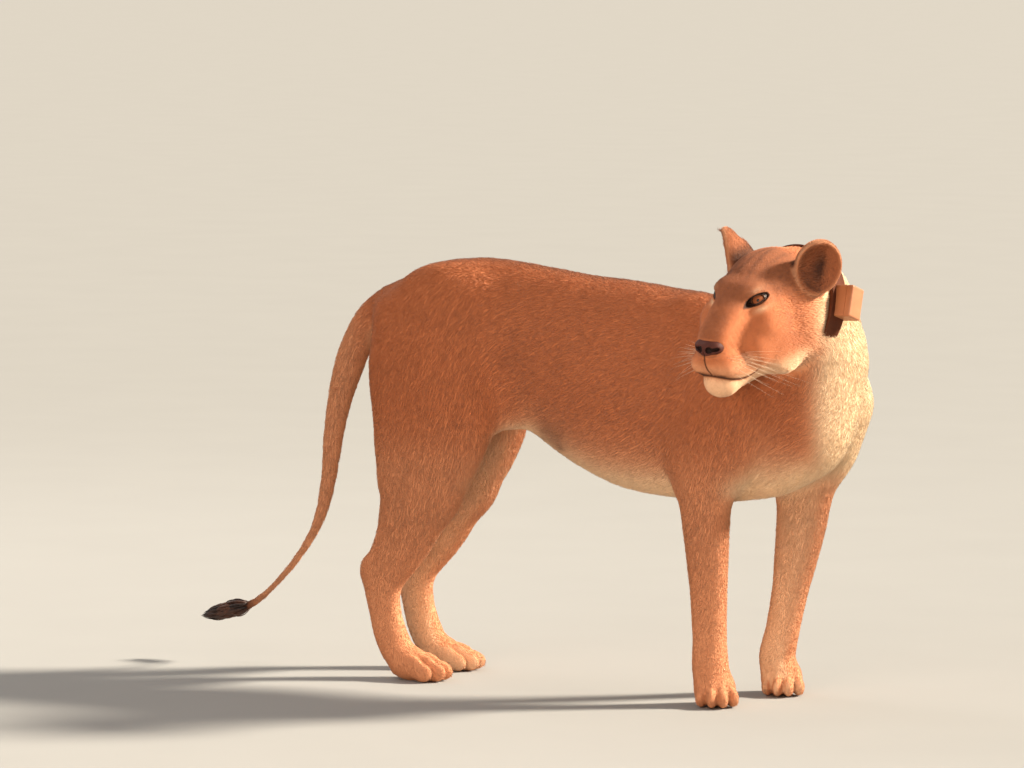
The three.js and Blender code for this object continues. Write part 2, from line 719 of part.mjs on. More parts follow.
// Where the parts of the body meet. A leg takes the thigh or the upper arm with it.
const neckCell = cell(NECK_FOOT, reversed(NAPE));
const JAW_SIDES = SIDES.map(([side]) => [onHead(0, side * 120, -158), headwards(0, -side * 0.6, 0.8)]);
const CHEEK_SIDES = SIDES.map(([side]) => [onHead(0, side * 120, -60), headwards(0, -side * 0.97, 0.25)]);
const headCell = cell(NAPE, [onHead(-60, 0, -172), headwards(0.12, 0, 0.99)], ...JAW_SIDES, ...CHEEK_SIDES);
const SLOPE = -0.4; // of the leg's wall, outwards as it rises
const LEG_WALLS = {
  hind: (side) => [
    [at(0, side * 30, 520), at(0, side, SLOPE)],
    [at(0, 0, 0), at(0, side, 0)],
    [at(240, 0, 545), at(-0.94, 0, -0.3)],
    [at(-174, 0, 0), at(1, 0, 0)],
  ],
  fore: (side) => [
    [onChest(0, side * 60, 430), turned(0, side, SLOPE)],
    [onChest(0, 0, 0), turned(0, side, 0)],
    [onChest(-150, 0, 470), turned(0.97, 0, -0.24)],
  ],
};
const TAIL_SIDES = [[at(0, 70, 0), at(0, -1, 0)], [at(0, -70, 0), at(0, 1, 0)], [at(-128, 0, 0), at(-1, 0, 0)]];
const tailPlane = (t) => [tail.curve.getPoint(t), tail.curve.getTangent(t)];
const tailCell = cell(tailPlane(TAIL_CUTS[0]), ...TAIL_SIDES);

// ---------------------------------------------------------------------------------- collar
// The strap runs round the neck behind the ears. Its frame's +X points along the neck to the head.
const collarFrame = frameAlong(onHead(-172, 0, -62), headwards(0.83, 0, 0.56), headwards(0, 0, 1));

// The neck's radius round the strap, at a distance along the neck, evened out as a taut strap would be.
function neckRadii(along) {
  const held = fused([neck, placed(headFlesh(), headFrame)], 34);
  const local = placed(held, collarFrame.clone().invert());
  const radii = [...Array(COLLAR_STEPS).keys()].map((i) => {
    const angle = (2 * Math.PI * i) / COLLAR_STEPS;
    let radius = 60;
    for (let step = 0; step < 40; step++) {
      radius -= 0.8 * local.distance(along, radius * Math.cos(angle), radius * Math.sin(angle));
    }
    return Math.min(radius, NECK_MOST);
  });
  return radii.map((_, i) => {
    const near = [-2, -1, 0, 1, 2].map((o) => radii[(i + o + COLLAR_STEPS) % COLLAR_STEPS]);
    return near.reduce((sum, r) => sum + r) / near.length;
  });
}

// A band round the neck from one height off the skin to another.
function band(from, to, halfWidth) {
  const rows = [[-halfWidth, from], [halfWidth, from], [halfWidth, to], [-halfWidth, to]];
  const points = rows.flatMap(([along, height]) => neckRadii(along).map((r, i) => {
    const angle = (2 * Math.PI * i) / COLLAR_STEPS;
    return at(along, (r + height) * Math.cos(angle), (r + height) * Math.sin(angle)).applyMatrix4(collarFrame);
  }));
  const triangles = rows.flatMap((_, row) => [...Array(COLLAR_STEPS).keys()].flatMap((i) => {
    const next = (i + 1) % COLLAR_STEPS;
    const other = (row + 1) % rows.length;
    const [a, b, c, d] = [row, row, other, other].map((k, j) => k * COLLAR_STEPS + (j === 0 || j === 3 ? i : next));
    return [[a, c, b], [a, d, c]];
  }));
  return solidOfNet({ points, triangles });
}

// The housing stands on the strap, high on the left of the neck, with its foot shaped to the strap.
const HOUSING = { along: 44, tall: 66, thick: 44, corner: 6, angle: degrees(6), back: 12 };

function housing(grown) {
  const { along, tall, thick, corner, angle, back } = HOUSING;
  const outline = new THREE.Shape();
  const [w, h] = [tall / 2 + grown, along / 2 + grown];
  outline.moveTo(-w + corner, -h);
  outline.lineTo(w - corner, -h);
  outline.absarc(w - corner, -h + corner, corner, -Math.PI / 2, 0);
  outline.absarc(w - corner, h - corner, corner, 0, Math.PI / 2);
  outline.absarc(-w + corner, h - corner, corner, Math.PI / 2, Math.PI);
  outline.absarc(-w + corner, -h + corner, corner, Math.PI, 1.5 * Math.PI);
  const bevel = { bevelThickness: 4, bevelSize: 4, bevelOffset: -4, bevelSegments: 2 };
  const block = new THREE.ExtrudeGeometry(outline, { depth: thick + 2 * grown - 4, curveSegments: 3, ...bevel });
  const radius = neckRadii(0)[Math.round((angle / (2 * Math.PI)) * COLLAR_STEPS + COLLAR_STEPS) % COLLAR_STEPS];
  const out = at(0, Math.cos(angle), Math.sin(angle));
  const frame = new THREE.Matrix4().makeBasis(new THREE.Vector3().crossVectors(at(1, 0, 0), out), at(1, 0, 0), out)
    .setPosition(out.clone().multiplyScalar(radius - 4 - grown).add(at(-back, 0, 0)));
  return solidOf(block, collarFrame.clone().multiply(frame));
}

// ---------------------------------------------------------------------------------- materials and group
const coat = (color) => new THREE.MeshStandardMaterial({ color, roughness: 0.9, metalness: 0 });
const FUR = coat(0xb58455);
const PALE_FUR = coat(0xd9b184);
const FACE_FUR = coat(0xa9805a);
const EAR_FUR = coat(0x8f6a4a);
const TUFT_FUR = coat(0x2a1c16);
const NOSE_LEATHER = new THREE.MeshStandardMaterial({ color: 0x4a2a26, roughness: 0.55, metalness: 0 });
const EYE_GLASS = new THREE.MeshStandardMaterial({ color: 0x9a6a2c, roughness: 0.1, metalness: 0 });
const STRAP_LEATHER = new THREE.MeshStandardMaterial({ color: 0x4d3226, roughness: 0.7, metalness: 0 });
const HOUSING_RESIN = new THREE.MeshStandardMaterial({ color: 0x8c5a3c, roughness: 0.5, metalness: 0 });

const lioness = new THREE.Group();

function addPart(name, solid, material) {
  const { vertProperties, triVerts } = largest(solid).getMesh();
  const geometry = new THREE.BufferGeometry();
  geometry.setAttribute('position', new THREE.BufferAttribute(new Float32Array(vertProperties), 3));
  geometry.setIndex(new THREE.BufferAttribute(new Uint32Array(triVerts), 1));
  geometry.computeVertexNormals();
  const mesh = new THREE.Mesh(geometry, material);
  mesh.name = name;
  lioness.add(mesh);
}

// ---------------------------------------------------------------------------------- torso, legs and tail
const bodyLegs = LEGS.map((leg) => ({ ...leg, cell: cell(...LEG_WALLS[leg.end](leg.side)) }));

const strap = band(-4, STRAP_THICKNESS, STRAP_WIDTH / 2);
const strapSpace = band(-40, STRAP_THICKNESS + GAP, STRAP_WIDTH / 2 + GAP);
const collarSpace = band(-4 - GAP, STRAP_THICKNESS + COLLAR_ROOM, STRAP_WIDTH / 2 + GAP).add(housing(GAP));

const earCells = SIDES.map(([side]) => {
  const root = [onHead(-110, side * 90, 20), headwards(-0.5, side * 0.73, 0.46)];
  const walls = [[0, 1, 0], [0, -1, 0], [0, 0, 1], [0, 0, -1], [1, 0, 0], [-1, 0, 0]].map(([x, y, z]) => {
    const wall = inHead(earFrame(side));
    const reach = at(40, 58, 62); // of the space that holds the ear
    return [at(-reach.x * x, -reach.y * y, -reach.z * z).applyMatrix4(wall), at(x, y, z).transformDirection(wall)];
  });
  return cell(root, ...walls);
});

// The torso, the legs and the neck are cut from one skin, so that they meet without a step.
const bodyBox = boxOf(-215, -260, 55, 1050, 250, 960);
const flesh = sculpted(fleshWith(headFlesh()), bodyBox, 9, 5000).subtract(collarSpace);
const torso = [neckCell, headCell, tailCell, ...bodyLegs.map((leg) => leg.cell)]
  .reduce((rest, cut) => rest.subtract(cut.outer), flesh);
addPart('torso', torso, FUR);

for (const { end, name, cut, frame, cell: own } of bodyLegs) {
  const ankle = [at(0, 0, cut), at(0, 0, -1)];
  addPart(`${end}leg_${name}`, flesh.intersect(own.inner).subtract(beyond(...ankle, -GAP / 2)), FUR);
  const foot = sculpted(body, boxOf(-100, -80, -12, 100, 80, 110), 5, 500, frame);
  addPart(`${end}paw_${name}`, foot.intersect(beyond(...ankle, GAP / 2)).intersect(FLOOR), PALE_FUR);
}

const tailSolid = sculpted(body, boxOf(-560, -60, 90, -110, 60, 860), 6, 750);
['tail_base', 'tail_middle', 'tail_end'].forEach((name, i) => {
  const own = cell(tailPlane(TAIL_CUTS[i]), reversed(tailPlane(TAIL_CUTS[i + 1])), ...TAIL_SIDES);
  addPart(name, tailSolid.intersect(own.inner), FUR);
});

// Even, repeatable chance, from 0 to 1.
function chance(seed) {
  let state = seed;
  return () => {
    state = (state * 1664525 + 1013904223) % 2 ** 32;
    return state / 2 ** 32;
  };
}

// A flat, tapered lock that swells away from the tuft's axis and bends back to it. Its frame's +X lies along the
// tuft, and the lock stands off towards the frame's +Z after a turn about +X.
function lock({ root, length, turn, curl, swell }) {
  const ball = new THREE.SphereGeometry(1, 5, 4);
  const place = ball.attributes.position;
  for (let i = 0; i < place.count; i++) {
    const t = (1 - place.getY(i)) / 2; // from root to tip
    const taper = 1.15 - 0.55 * t;
    const across = (place.getX(i) * TUFT.width * taper) / 2 + curl * t * t;
    const off = TUFT.thick * (1 - t) + swell * (2.2 * t - 2.1 * t * t) + (place.getZ(i) * TUFT.thick * taper) / 2;
    place.setXYZ(i, root + t * length, across, off);
  }
  return ball.applyMatrix4(new THREE.Matrix4().makeRotationX(turn));
}

// The tuft: a core out to less than half way, and locks all round it that overlap.
function tuft() {
  const [root, along] = tailPlane(TAIL_CUTS[3]);
  const out = TUFT_TIP.clone().sub(root);
  const length = out.length();
  const frame = frameAlong(root, out, at(0, 1, 0));
  const outline = [[0, -0.06], [11, -0.06], [14, 0.14], [13, 0.28], [7, 0.42], [0, TUFT.core]];
  const core = new THREE.LatheGeometry(outline.map(([r, t]) => new THREE.Vector2(r, t * length)), 10);
  const random = chance(TUFT.seed);
  const goldenTurn = Math.PI * (3 - Math.sqrt(5));
  let form = solidOf(core, frame.clone().multiply(new THREE.Matrix4().makeRotationZ(-Math.PI / 2)));
  for (let i = 0; i < TUFT.locks; i++) {
    const start = length * (0.06 + 0.3 * random());
    const reach = i === 0 ? 1 : 0.74 + 0.24 * random(); // the first lock makes the tuft's tip
    form = form.add(solidOf(lock({
      root: start,
      length: length * reach - start,
      turn: i * goldenTurn + 0.5 * random(),
      curl: 14 * (random() - 0.5),
      swell: TUFT.swell * (i === 0 ? 0.4 : 0.55 + 0.45 * random()),
    }), frame));
  }
  return form.intersect(beyond(root, along, GAP / 2));
}
addPart('tail_tuft', tuft(), TUFT_FUR);

addPart('collar_strap', strap, STRAP_LEATHER);

addPart('collar_housing', housing(0).subtract(strapSpace), HOUSING_RESIN);

// ---------------------------------------------------------------------------------- neck and head
addPart('neck', earCells.reduce((rest, ear) => rest.subtract(ear.outer), flesh.intersect(neckCell.inner)), FUR);

function ellipsoid(radius, [sx, sy, sz], matrix, sides = 16) {
  const ball = new THREE.SphereGeometry(radius, sides, Math.round(sides * 0.7));
  return solidOf(ball.scale(sx, sy, sz), matrix);
}

const moved = (x, y, z, yaw = 0, pitch = 0) => new THREE.Matrix4()
  .makeRotationFromEuler(new THREE.Euler(0, pitch, yaw, 'ZYX')).setPosition(x, y, z);

// The gap between the lids, an almond drawn out along the gaze.
function lidGap() {
  const [half, high, low, depth, flare] = [20, 9.5, 7, 60, 1.8];
  const almond = new THREE.Shape();
  almond.moveTo(-half, -1);
  almond.quadraticCurveTo(-2, 2 * high, half, 1);
  almond.quadraticCurveTo(2, -2 * low, -half, -1);
  const block = new THREE.ExtrudeGeometry(almond, { depth, curveSegments: 8, bevelEnabled: false });
  const place = block.attributes.position;
  for (let i = 0; i < place.count; i++) {
    const spread = 1 + (flare - 1) * (place.getZ(i) / depth);
    place.setXY(i, place.getX(i) * spread, place.getY(i) * spread);
  }
  return block.applyMatrix4(new THREE.Matrix4().makeBasis(at(0, 1, 0), at(0, 0, 1), at(1, 0, 0)));
}

let head = sculpted(body, boxOf(-200, -175, -200, 175, 175, 140), 4, 3300, headFrame).intersect(headCell.inner)
  .subtract(collarSpace);
SIDES.forEach(([side, name], i) => {
  const around = new THREE.Box3(at(-50, -66, -80), at(50, 66, 80));
  const ear = sculpted(body, around, 3.5, 500, inHead(earFrame(side)));
  addPart(`ear_${name}`, ear.intersect(earCells[i].inner).subtract(collarSpace), EAR_FUR);
  head = head.subtract(earCells[i].outer);
  const eye = inHead(eyeFrame(side));
  addPart(`eye_${name}`, ellipsoid(EYE_RADIUS, [1, 1, 1], eye, 12), EYE_GLASS);
  head = head.subtract(ellipsoid(EYE_RADIUS + 2 * GAP, [1, 1, 1], eye, 12)).subtract(solidOf(lidGap(), eye));
});

// The nose leather, with a nostril on each side that runs out into a slit.
const nosePlace = inHead(moved(130, 0, -62, 0, 0.35));
const noseShape = (swell) => ellipsoid(1, [19 + swell, 30 + swell, 20 + swell], nosePlace, 12);
const nostrils = SIDES.flatMap(([side]) => [
  ellipsoid(1, [13, 8, 6], inHead(moved(140, side * 12, -66, side * 0.5)), 8),
  ellipsoid(1, [14, 7, 4], inHead(moved(134, side * 21, -64, side * 0.9)), 8),
]);
addPart('nose', nostrils.reduce((nose, hole) => nose.subtract(hole), noseShape(0)), NOSE_LEATHER);
head = head.subtract(noseShape(GAP));

// The mouth line dips under the whisker pads and rises to its corners, and the philtrum comes down to it.
function mouthGap() {
  const line = new THREE.CatmullRomCurve3([
    at(170, -114, 0), at(140, -116, 0), at(116, -125, 0), at(90, -131, 0), at(64, -130, 0), at(46, -124, 0),
  ]).getPoints(16);
  const outline = new THREE.Shape([
    ...line.map((p) => new THREE.Vector2(p.x, p.y + 1.6)),
    ...line.reverse().map((p, i) => new THREE.Vector2(p.x, p.y - 1.6 * (i ? 1 : 0.4))),
  ]);
  const sheet = new THREE.ExtrudeGeometry(outline, { depth: 160, bevelEnabled: false });
  return sheet.translate(0, 0, -80).rotateX(Math.PI / 2);
}
const philtrum = new THREE.BoxGeometry(60, 2.4, 44).translate(140, 0, -96);
const core = sculpted({ ...headField, distance: (x, y, z) => headField.distance(x, y, z) + 9 },
  boxOf(0, -80, -190, 160, 80, 0), 7, 500);
const mouth = solidOf(mouthGap()).add(solidOf(philtrum)).subtract(core);
head = head.subtract(mouth.transform(headFrame.toArray()));
addPart('head', head, FACE_FUR);

// ---------------------------------------------------------------------------------- zero under the middle
const reach = new THREE.Box3().setFromObject(lioness);
const middle = reach.getCenter(at(0, 0, 0));
lioness.position.set(-middle.x, -middle.y, -reach.min.z);

export default lioness;
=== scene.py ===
import math
from concurrent.futures import ThreadPoolExecutor

import bmesh
import bpy
import numpy as np
from mathutils import Matrix, Vector


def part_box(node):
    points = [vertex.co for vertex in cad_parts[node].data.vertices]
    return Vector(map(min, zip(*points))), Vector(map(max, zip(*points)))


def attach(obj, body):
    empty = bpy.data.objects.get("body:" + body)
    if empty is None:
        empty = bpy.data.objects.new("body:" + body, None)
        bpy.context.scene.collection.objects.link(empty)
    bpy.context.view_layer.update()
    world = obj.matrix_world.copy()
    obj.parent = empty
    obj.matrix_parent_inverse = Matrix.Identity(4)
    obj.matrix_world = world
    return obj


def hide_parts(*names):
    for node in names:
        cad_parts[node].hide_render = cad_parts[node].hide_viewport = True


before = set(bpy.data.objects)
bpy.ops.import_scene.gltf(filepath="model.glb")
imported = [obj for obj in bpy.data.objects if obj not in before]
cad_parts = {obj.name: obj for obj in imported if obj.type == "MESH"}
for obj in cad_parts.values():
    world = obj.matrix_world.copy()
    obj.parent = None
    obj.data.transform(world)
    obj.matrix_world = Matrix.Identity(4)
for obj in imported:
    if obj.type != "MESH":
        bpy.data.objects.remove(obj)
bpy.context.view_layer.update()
print("stage: frame loaded")

# The animal is worked out in millimetres, in the frame that its sizes are named in, and set down in metres.


def vec(*v):
    return np.array(v, float)


def unit(v):
    return v / np.linalg.norm(v)


def turn(yaw=0.0, pitch=0.0, roll=0.0):
    cy, sy, cp, sp, cr, sr = (f(a) for a in (yaw, pitch, roll) for f in (math.cos, math.sin))
    about = np.array([[cy, -sy, 0], [sy, cy, 0], [0, 0, 1]])
    nod = np.array([[cp, 0, sp], [0, 1, 0], [-sp, 0, cp]])
    lean = np.array([[1, 0, 0], [0, cr, -sr], [0, sr, cr]])
    return about @ nod @ lean


class Place:  # a frame: turned axes, an even scale and an origin
    def __init__(self, axes=np.eye(3), origin=(0, 0, 0), scale=1.0):
        self.axes = np.array(axes, float)
        self.origin = np.array(origin, float)
        self.scale = scale

    def out(self, p):
        return (np.asarray(p, float) * self.scale) @ self.axes.T + self.origin

    def into(self, p):
        return (p - self.origin) @ self.axes / self.scale

    def way(self, v):
        return unit(np.asarray(v, float) @ self.axes.T)

    def then(self, other):
        return Place(self.axes @ other.axes, self.out(other.origin), self.scale * other.scale)

    def undone(self):
        return Place(self.axes.T, -self.axes.T @ self.origin / self.scale, 1 / self.scale)


def along(point, normal, up=(0, 0, 1)):  # +X along a normal, +Z as near up as it can be
    x = unit(np.asarray(normal, float))
    y = unit(np.cross(up, x))
    return Place(np.column_stack([x, y, np.cross(x, y)]), point)


left, right = 1, -1
sides = ((left, "left"), (right, "right"))

pose = {
    "hipHeight": 900, "withersHeight": 846, "bellyHeight": 408, "hockHeight": 222,
    "hindTrack": 90, "foreTrack": 112, "chestTurn": math.radians(-15),
    "headScale": 1.02, "headTurn": [math.radians(a) for a in (-101, 16, -4)], "eyesAt": (845, -310, 851),
    "eye": (-2, 42, 4), "eyeOutward": math.radians(36), "eyeSlant": math.radians(16), "eyeRaise": 0.16,
    "ear": (-120, 106, 40), "earTurn": {left: math.radians(37), right: math.radians(-52)},
}
headPlace = Place(turn(*pose["headTurn"]), pose["eyesAt"], pose["headScale"])


def eyePlace(side):
    x, y, z = pose["eye"]
    outward = pose["eyeOutward"]
    gaze = unit(vec(math.cos(outward), side * math.sin(outward), pose["eyeRaise"]))
    a, k = side * pose["eyeSlant"], vec(0, 0, 1)
    up = k * math.cos(a) + np.cross(gaze, k) * math.sin(a) + gaze * (gaze @ k) * (1 - math.cos(a))
    return along((x, side * y, z), gaze, up)


def earPlace(side):
    x, y, z = pose["ear"]
    a = pose["earTurn"][side]
    return along((x, side * y, z), (math.cos(a), math.sin(a), -0.08), (-0.05, side * 0.3, 0.95))


# The frame's own zero, from where the left eye stands in both frames.
low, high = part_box("eye_left")
zero = headPlace.out(eyePlace(left).origin) - 1000 * (np.array(low) + np.array(high)) / 2


def metres(p):
    return (np.asarray(p, float) - zero) / 1000


view = {
    "azimuth": 27, "elevation": 5, "distance": 12000, "target": (150.15, 621.6, 219.7),
    "mmPerPixel": 2.1, "pixels": 1024, "sensor": 36, "farthest": 100,
}
studio = {
    "lights": {  # kind, place, aim, power, colour, size in metres or degrees, and spread in degrees
        "key": ("SUN", (4.5, 3.0, 3.7), (0, 0, 0.4), 11.5, (1, 0.91, 0.76), 9, 180),
        "fill": ("AREA", (0.2, -5.8, 3.9), (0.1, 0, 0.5), 95, (1, 0.93, 0.86), 4.0, 180),
        "glow": ("AREA", (1.2, -4.4, 0.65), (0.15, 0, 0.4), 13, (1, 0.66, 0.44), 1.2, 70),
        "back": ("AREA", (-3.6, 1.2, 3.4), (0.1, 0, 0.5), 60, (1, 0.95, 0.9), 3.0, 180),
    },
    "world": (0.88, 0.84, 0.79), "worldStrength": 0.58,
    "floor": (0.275, 0.268, 0.257), "floorHalf": 90.0, "mottle": 1.06,
}


def inScene(thing):
    bpy.context.scene.collection.objects.link(thing)
    return thing


def makeCamera(s):
    a, e = math.radians(s["azimuth"]), math.radians(s["elevation"])
    rightward = vec(math.cos(a), math.sin(a), 0)
    toward = vec(math.cos(e) * math.sin(a), -math.cos(e) * math.cos(a), math.sin(e))
    upward = np.cross(toward, rightward)
    x, y, z = s["target"]
    place = metres(rightward * x + upward * y + toward * (z + s["distance"]))
    data = bpy.data.cameras.new("camera")
    data.sensor_width = s["sensor"]
    data.lens = s["sensor"] * s["distance"] / (s["pixels"] * s["mmPerPixel"])
    data.clip_end = s["farthest"]
    camera = inScene(bpy.data.objects.new("camera", data))
    m = Matrix.Identity(4)
    for i in range(3):
        m[i][0], m[i][1], m[i][2], m[i][3] = rightward[i], upward[i], toward[i], place[i]
    camera.matrix_world = m
    bpy.context.scene.camera = camera


def addLight(name, kind, place, aim, power, colour, size, spread):
    data = bpy.data.lights.new(name, kind)
    data.energy, data.color = power, colour
    if kind == "AREA":
        data.shape, data.size, data.spread = "DISK", size, math.radians(spread)
    else:
        data.angle = math.radians(size)
    lamp = inScene(bpy.data.objects.new(name, data))
    lamp.location = place
    lamp.rotation_euler = (Vector(aim) - Vector(place)).to_track_quat("-Z", "Y").to_euler()


makeCamera(view)
for name, settings in studio["lights"].items():
    addLight(name, *settings)
world = bpy.data.worlds.new("studio")
bpy.context.scene.world = world
world.use_nodes = True
sky = world.node_tree.nodes["Background"].inputs
sky["Color"].default_value = (*studio["world"], 1)
sky["Strength"].default_value = studio["worldStrength"]
bpy.context.scene.view_settings.view_transform = "Standard"
print("stage: camera and light")

# A field is negative inside the flesh and close to the distance outside it. Points come as rows.


def smoothMin(a, b, blend):
    h = np.maximum(blend - np.abs(a - b), 0) / blend
    return np.minimum(a, b) - h * h * blend * 0.25


def smoothstep(x, low=0.0, high=1.0):
    t = np.clip((x - low) / (high - low), 0, 1)
    return t * t * (3 - 2 * t)


def bump(x, width=1.0):
    return np.exp(-((x / width) ** 2))


def lengths(rows):
    return np.sqrt(np.einsum("ij,ij->i", rows, rows))


def ellipsoidDistance(p, radii):
    q = p / radii + 1e-9
    near = lengths(q)
    q /= radii
    return near * (near - 1) / lengths(q)


def measured(field, p):  # the field at many points, shared out over a few threads
    parts = np.array_split(p, max(1, len(p) // 20000))
    with ThreadPoolExecutor(4) as pool:
        return np.concatenate(list(pool.map(field.distance, parts)))


class Lump:
    def __init__(self, centre, radii, yaw=0, pitch=0, roll=0, blend=None):
        self.centre, self.radii = np.array(centre, float), np.array(radii, float)
        self.axes, self.reach, self.blend = turn(yaw, pitch, roll), max(radii), blend

    def distance(self, p):
        return ellipsoidDistance((p - self.centre) @ self.axes, self.radii)


def curvePoints(points, ts):  # a centripetal spline through the points
    points = np.asarray(points, float)
    last = len(points) - 1
    result = []
    for t in ts:
        i = min(int(last * t), last - 1)
        w = last * t - i
        p1, p2 = points[i], points[i + 1]
        p0 = points[i - 1] if i else 2 * p1 - p2
        p3 = points[i + 2] if i + 2 <= last else 2 * p2 - p1
        d0, d1, d2 = (((b - a) @ (b - a)) ** 0.25 for a, b in ((p0, p1), (p1, p2), (p2, p3)))
        d1 = d1 if d1 >= 1e-4 else 1.0
        d0, d2 = (d if d >= 1e-4 else d1 for d in (d0, d2))
        m1 = ((p1 - p0) / d0 - (p2 - p0) / (d0 + d1) + (p2 - p1) / d1) * d1
        m2 = ((p2 - p1) / d1 - (p3 - p1) / (d1 + d2) + (p3 - p2) / d2) * d1
        square, cube = -3 * p1 + 3 * p2 - 2 * m1 - m2, 2 * p1 - 2 * p2 + m1 + m2
        result.append(p1 + m1 * w + square * w**2 + cube * w**3)
    return np.array(result)


class Limb:  # a smooth curve of elliptical bones through stations of (x, y, z, deep, wide)
    def __init__(self, stations, front=(1, 0, 0), steps=4, blend=None):
        stations = np.array(stations, float)
        ts = np.linspace(0, 1, (len(stations) - 1) * steps + 1)
        points = curvePoints(stations[:, :3], ts)
        sizes = curvePoints(np.column_stack([stations[:, 3:], 0 * stations[:, 0]]), ts)[:, :2]
        self.blend, self.bones = blend, []
        for i in range(len(ts) - 1):
            a, way = points[i], points[i + 1] - points[i]
            length = np.linalg.norm(way)
            way = way / length
            side = unit(np.cross(way, front))
            axes = np.column_stack([np.cross(side, way), side, way])
            reach = length + max(*sizes[i], *sizes[i + 1])
            self.bones.append((a, axes, length, sizes[i], sizes[i + 1], reach))
        low, high = stations[:, :3].min(0), stations[:, :3].max(0)
        self.centre = (low + high) / 2
        self.reach = np.linalg.norm(high - low) / 2 + stations[:, 3:].max()

    def nearest(self, p):
        best, where = np.full(len(p), np.inf), np.zeros(len(p), int)
        for i, (a, axes, length, size0, size1, reach) in enumerate(self.bones):
            offset = p - a
            near = np.nonzero(lengths(offset) - reach < best)[0]
            q = offset[near] @ axes
            t = np.clip(q[:, 2], 0, length)
            size = size0 + np.outer(t / length, size1 - size0)
            radii = np.column_stack([size, np.minimum(size[:, 0], size[:, 1])])
            q[:, 2] -= t
            d = ellipsoidDistance(q, radii)
            closer = d < best[near]
            best[near[closer]], where[near[closer]] = d[closer], i
        return best, where

    def distance(self, p):
        return self.nearest(p)[0]

    def way(self, where):
        return np.array([axes[:, 2] for _, axes, *_ in self.bones])[where]


class Fused:  # flesh that runs together
    def __init__(self, parts, soft):
        low = np.min([p.centre - p.reach for p in parts], 0)
        high = np.max([p.centre + p.reach for p in parts], 0)
        self.parts, self.soft, self.blend = parts, soft, None
        self.centre, self.reach = (low + high) / 2, np.linalg.norm(high - low) / 2

    def distance(self, p):
        d = np.full(len(p), np.inf)
        for part in self.parts:
            soft = part.blend or self.soft
            near = np.nonzero(lengths(p - part.centre) - part.reach < d + soft)[0]
            if len(near):
                d[near] = smoothMin(d[near], part.distance(p[near]), soft)
        return d


class Hollowed:  # the first field with the others hollowed out of it
    def __init__(self, body, cuts, rounding):
        self.body, self.cuts, self.rounding = body, cuts, rounding
        self.centre, self.reach = body.centre, body.reach

    def distance(self, p):
        d = self.body.distance(p)
        for cut in self.cuts:
            d = -smoothMin(-d, cut.distance(p), cut.blend or self.rounding)
        return d


class Placed:  # a field made in a frame of its own
    def __init__(self, field, place, blend=None):
        self.field, self.place, self.blend = field, place, blend
        self.centre, self.reach = place.out(field.centre), field.reach * place.scale

    def distance(self, p):
        return self.place.scale * self.field.distance(self.place.into(p))


class Eased:  # a field whose skin lies deeper, by a depth below a height and another above it
    def __init__(self, field, above, below=None, height=(60, 140)):
        self.field, self.height = field, height
        self.above, self.below = above, above if below is None else below
        self.centre, self.reach, self.blend = field.centre, field.reach, field.blend

    def distance(self, p):
        more = (self.above - self.below) * smoothstep(p[:, 2], *self.height)
        return self.field.distance(p) + self.below + more


def paired(make):
    return [make(left), make(right)]


# The body's form, in stations from back to front and from top to foot.
hip, withers, belly = pose["hipHeight"], pose["withersHeight"], pose["bellyHeight"]


def between(x, y, top, bottom, wide):
    return (x, y, (top + bottom) / 2, (top - bottom) / 2, wide)


trunk = Limb([
    between(-84, 0, 836, 690, 58), between(-10, 0, hip - 18, 640, 90),
    between(95, 0, hip + 1, 590, 110), between(200, 0, hip - 9, 562, 112),
    between(300, -1, hip - 22, 514, 126), between(400, -5, hip - 31, 454, 142),
    between(500, -14, withers + 10, 416, 152), between(600, -27, withers, belly, 152),
    between(700, -44, withers - 16, belly, 144), between(800, -64, 800, belly + 16, 134),
    between(880, -84, 752, 462, 112),
], front=(0, 0, 1))
chest = Place(turn(pose["chestTurn"]), (748, -50, 0))


def foreleg(side):
    step, lean, stout = (62, -84, 1.1) if side == left else (-18, 2, 1.0)
    track = side * pose["foreTrack"]

    def s(forward, out, up, deep, wide):
        return (*chest.out((forward + step, out, up)), deep, wide)

    front = chest.way((1, 0, 0))
    return {
        "bulk": [
            Limb([  # shoulder
                s(-100, side * 56, 792, 44, 34), s(-20, side * 92, 704, 72, 46),
                s(74, side * 110, 618, 76, 54),
            ], front),
            Limb([  # upper arm
                s(86, side * 108, 624, 74, 58), s(30, side * 118, 534, 88, 58),
                s(-20, track, 452, 70 * stout, 52),
            ], front),
            Lump(chest.out((-34 + step, side * 112, 560)), (70, 44, 108), pose["chestTurn"], 0.1),
            Limb([  # elbow to wrist
                s(-14, track, 470, 64 * stout, 50), s(-10 + lean * 0.06, track, 390, 57 * stout, 48),
                s(-6 + lean * 0.25, track, 320, 50 * stout, 45), s(-2 + lean * 0.55, track, 220, 43, 39),
                s(lean * 0.8, track, 140, 40, 38), s(2 + lean, track, 80, 38, 40),
                s(8 + lean, track, 44, 35, 40),
            ], front, blend=22),
        ],
        "foot": chest.out((18 + step + lean, track, 0)),
    }


